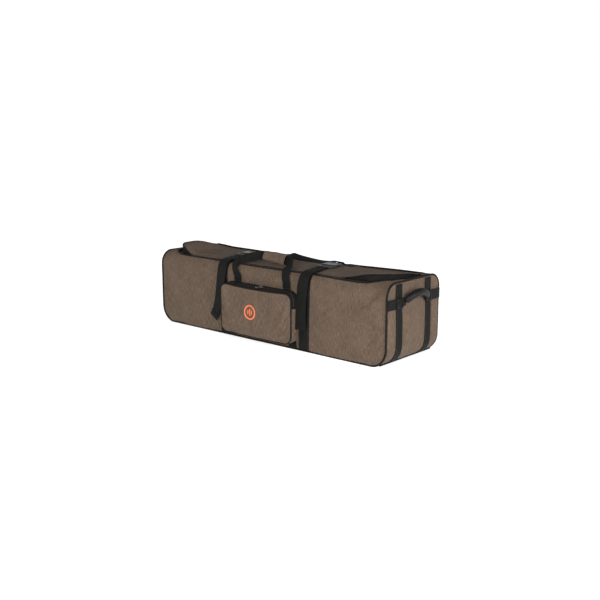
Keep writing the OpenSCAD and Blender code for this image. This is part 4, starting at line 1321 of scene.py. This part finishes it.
def split_outline(inset=0.0):
    """The pocket's outline as its lower part and its upper part, cut at the door's hinge line."""
    flat = pocket_outline(inset, 0.004)[:-1]
    start = int(np.argmax((flat[:, 1] < DOOR_Z) & (np.roll(flat[:, 1], 1) >= DOOR_Z)))
    flat = np.roll(flat, -start, axis=0)
    lower = flat[flat[:, 1] < DOOR_Z]
    upper = flat[flat[:, 1] >= DOOR_Z]
    return lower, upper


def pocket_wall(name, flat, y0, y1, material, body, dip=True, rows=9, swell=0.002):
    y = np.linspace(y0, y1, rows)
    grid = np.stack(np.broadcast_arrays(flat[:, None, 0], y[None, :], flat[:, None, 1]), -1).copy()
    share = (y - y0) / (y1 - y0)
    if dip:
        grid[..., 2] -= pocket_dip(grid[..., 0], grid[..., 2]) * (1 - share)[None, :]
    centre = np.array([0, 0.128])
    away = unit(flat - centre)
    out = swell * np.sin(np.pi * share)
    grid[..., 0] += away[:, None, 0] * out[None, :]
    grid[..., 2] += away[:, None, 1] * out[None, :]
    along = lengths(flat)
    uv = np.stack(np.broadcast_arrays((y - y0)[None, :], along[:, None]), -1)
    obj = slab(name, grid, uv, 0.0018, material, (0, (y0 + y1) / 2, 0.128), 0)
    return put(obj, body)


def pocket_sides():
    lower, upper = split_outline()
    side = pocket_wall("pocket_side_lower", lower, POCKET_FRONT + 0.001, POCKET_BACK - 0.0005, BROWN,
                       "bag", False)
    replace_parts(side, "pocket_gusset")
    pocket_wall("pocket_side_upper", upper, ZIP_Y + 0.0022, POCKET_BACK - 0.0005, COATED,
                "bag", False, 7)
    rim = pocket_wall("pocket_rim_cloth", upper, POCKET_FRONT + 0.001, ZIP_Y - 0.0022, COATED,
                      "pocket_door", True, 6, 0.0012)
    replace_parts(rim, "pocket_flap_rim")
    tape = pocket_wall("pocket_zipper_band", split_outline(0.0008)[1], ZIP_Y + 0.0004, ZIP_Y + 0.0075, TAPE,
                       "bag", False, 4, 0.0)
    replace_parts(tape, "pocket_zipper_tape")
    pocket_wall("pocket_door_band", split_outline(0.0008)[1], ZIP_Y - 0.0060, ZIP_Y - 0.0004, TAPE,
                "pocket_door", False, 4, 0.0)
    teeth = resample(split_outline(0.0)[1], 0.0026)
    away = unit(teeth - np.array([0, 0.128]))
    for k, body in ((-1, "pocket_door"), (1, "bag")):
        spots = teeth if k > 0 else (teeth[1:] + teeth[:-1]) / 2
        out = away if k > 0 else (away[1:] + away[:-1]) / 2
        places = np.column_stack([spots[:, 0], np.full(len(spots), ZIP_Y + k * 0.0011), spots[:, 1]])
        flat_along = np.gradient(spots, axis=0)
        along = unit(np.column_stack([flat_along[:, 0], np.zeros(len(spots)), flat_along[:, 1]]))
        up = np.column_stack([out[:, 0], np.zeros(len(spots)), out[:, 1]])
        obj = blocks(f"{body}_pocket_teeth", places, along * 0.0008, np.array([0, 0.0013, 0]) + 0 * up,
                     up * 0.0006, NYLON)
        put(obj, body)
    corner_webbing()


def corner_webbing():
    """Webbing ends that show under the pocket, in front of the handle legs."""
    for s, name in ((-1, "left"), (1, "right")):
        z = np.linspace(0.006, 0.027, 6)
        line = np.column_stack([s * leg_x(z), np.full(6, -HALF_D - 0.0065), z])
        put(strap(f"{name}_leg_end", line, (1, 0, 0), 0.036, 0.0020), "bag")


def emblem(face):
    """A plain embroidered ring with three bars."""
    def on_face(x, z):
        d = (face[..., 0] - x) ** 2 + (face[..., 2] - z) ** 2
        return face[np.unravel_index(np.argmin(d), d.shape)][1]

    x0, z0 = -0.022, 0.126
    lines = []
    ring = arc((x0, z0), 0.0265, 0, 360, 90)
    lines.append(("ring", ring, 0.0030))
    for k, (dx, high) in enumerate(((-0.010, 0.008), (0.0, 0.014), (0.010, 0.008))):
        bar = np.column_stack([np.full(20, x0 + dx), np.linspace(z0 - high, z0 + high, 20)])
        lines.append((f"bar_{k}", bar, 0.0026))
    for name, flat, radius in lines:
        y = np.array([on_face(p[0], p[1]) for p in flat])
        y = np.convolve(np.pad(y, 3, mode="edge"), np.ones(7) / 7, "valid")
        line = np.column_stack([flat[:, 0], y - 0.0002, flat[:, 1]])
        obj = tube("emblem_" + name, line, radius, ORANGE, 8)
        co = np.array([v.co for v in obj.data.vertices])
        base = np.interp(np.arange(len(co)), np.arange(len(co)), np.repeat(line[:, 1], 8))
        co[:, 1] = base + (co[:, 1] - base) * 0.42
        obj.data.vertices.foreach_set("co", co.astype(np.float32).ravel())
        if name == "ring":
            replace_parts(obj, "emblem_patch")
        put(obj, "bag")


# ---- CAD pieces that show as they are ----
def dress_cad():
    looks = {"buckle": PLASTIC, "slider_metal": METAL, "board": PLASTIC}
    slots = {p["node"]: p["material_slot"] for p in frame["record"]["subparts"]}
    for node, obj in frame["nodes"].items():
        if slots[node] not in looks:
            continue
        obj.data.materials.clear()
        obj.data.materials.append(looks[slots[node]])
        bevel = obj.modifiers.new("edges", "BEVEL")
        bevel.width = 0.0011 if "buckle" in node else 0.0004
        bevel.segments = 3
        bevel.limit_method = "ANGLE"
        bevel.angle_limit = math.radians(40)


def build():
    add_camera()
    add_stage()
    side_panel(-1)
    side_panel(1)
    for s, name in ((-1, "left_end"), (1, "right_end")):
        end_panel(s, name)
        top_piping(s, f"piping_{name}")
        bottom_piping(s, name)
    bottom_panel()
    opening_rims()
    lining()
    long_piping(-1, "piping_front")
    long_piping(1, "piping_back")
    zipper()
    lid_top()
    lid_wall()
    lid_underside()
    lid_piping()
    hinge()
    wrap_strap(-1, "left_strap_wrap", -0.206)
    wrap_strap(1, "right_strap_wrap", 0.215)
    front_run(-1, "left_strap")
    front_run(1, "right_strap")
    tails()
    rear_run(-1, "left_strap")
    rear_run(1, "right_strap")
    handle_legs()
    front_handle()
    rear_handle()
    grip_wrap()
    end_webbing(-1, "left")
    end_webbing(1, "right")
    end_grip(-1, "left_grip", "left_end_grip")
    end_grip(1, "right_grip", "right_end_grip")
    face = pocket_front()
    pocket_cord()
    pocket_sides()
    emblem(face)
    dress_cad()


build()
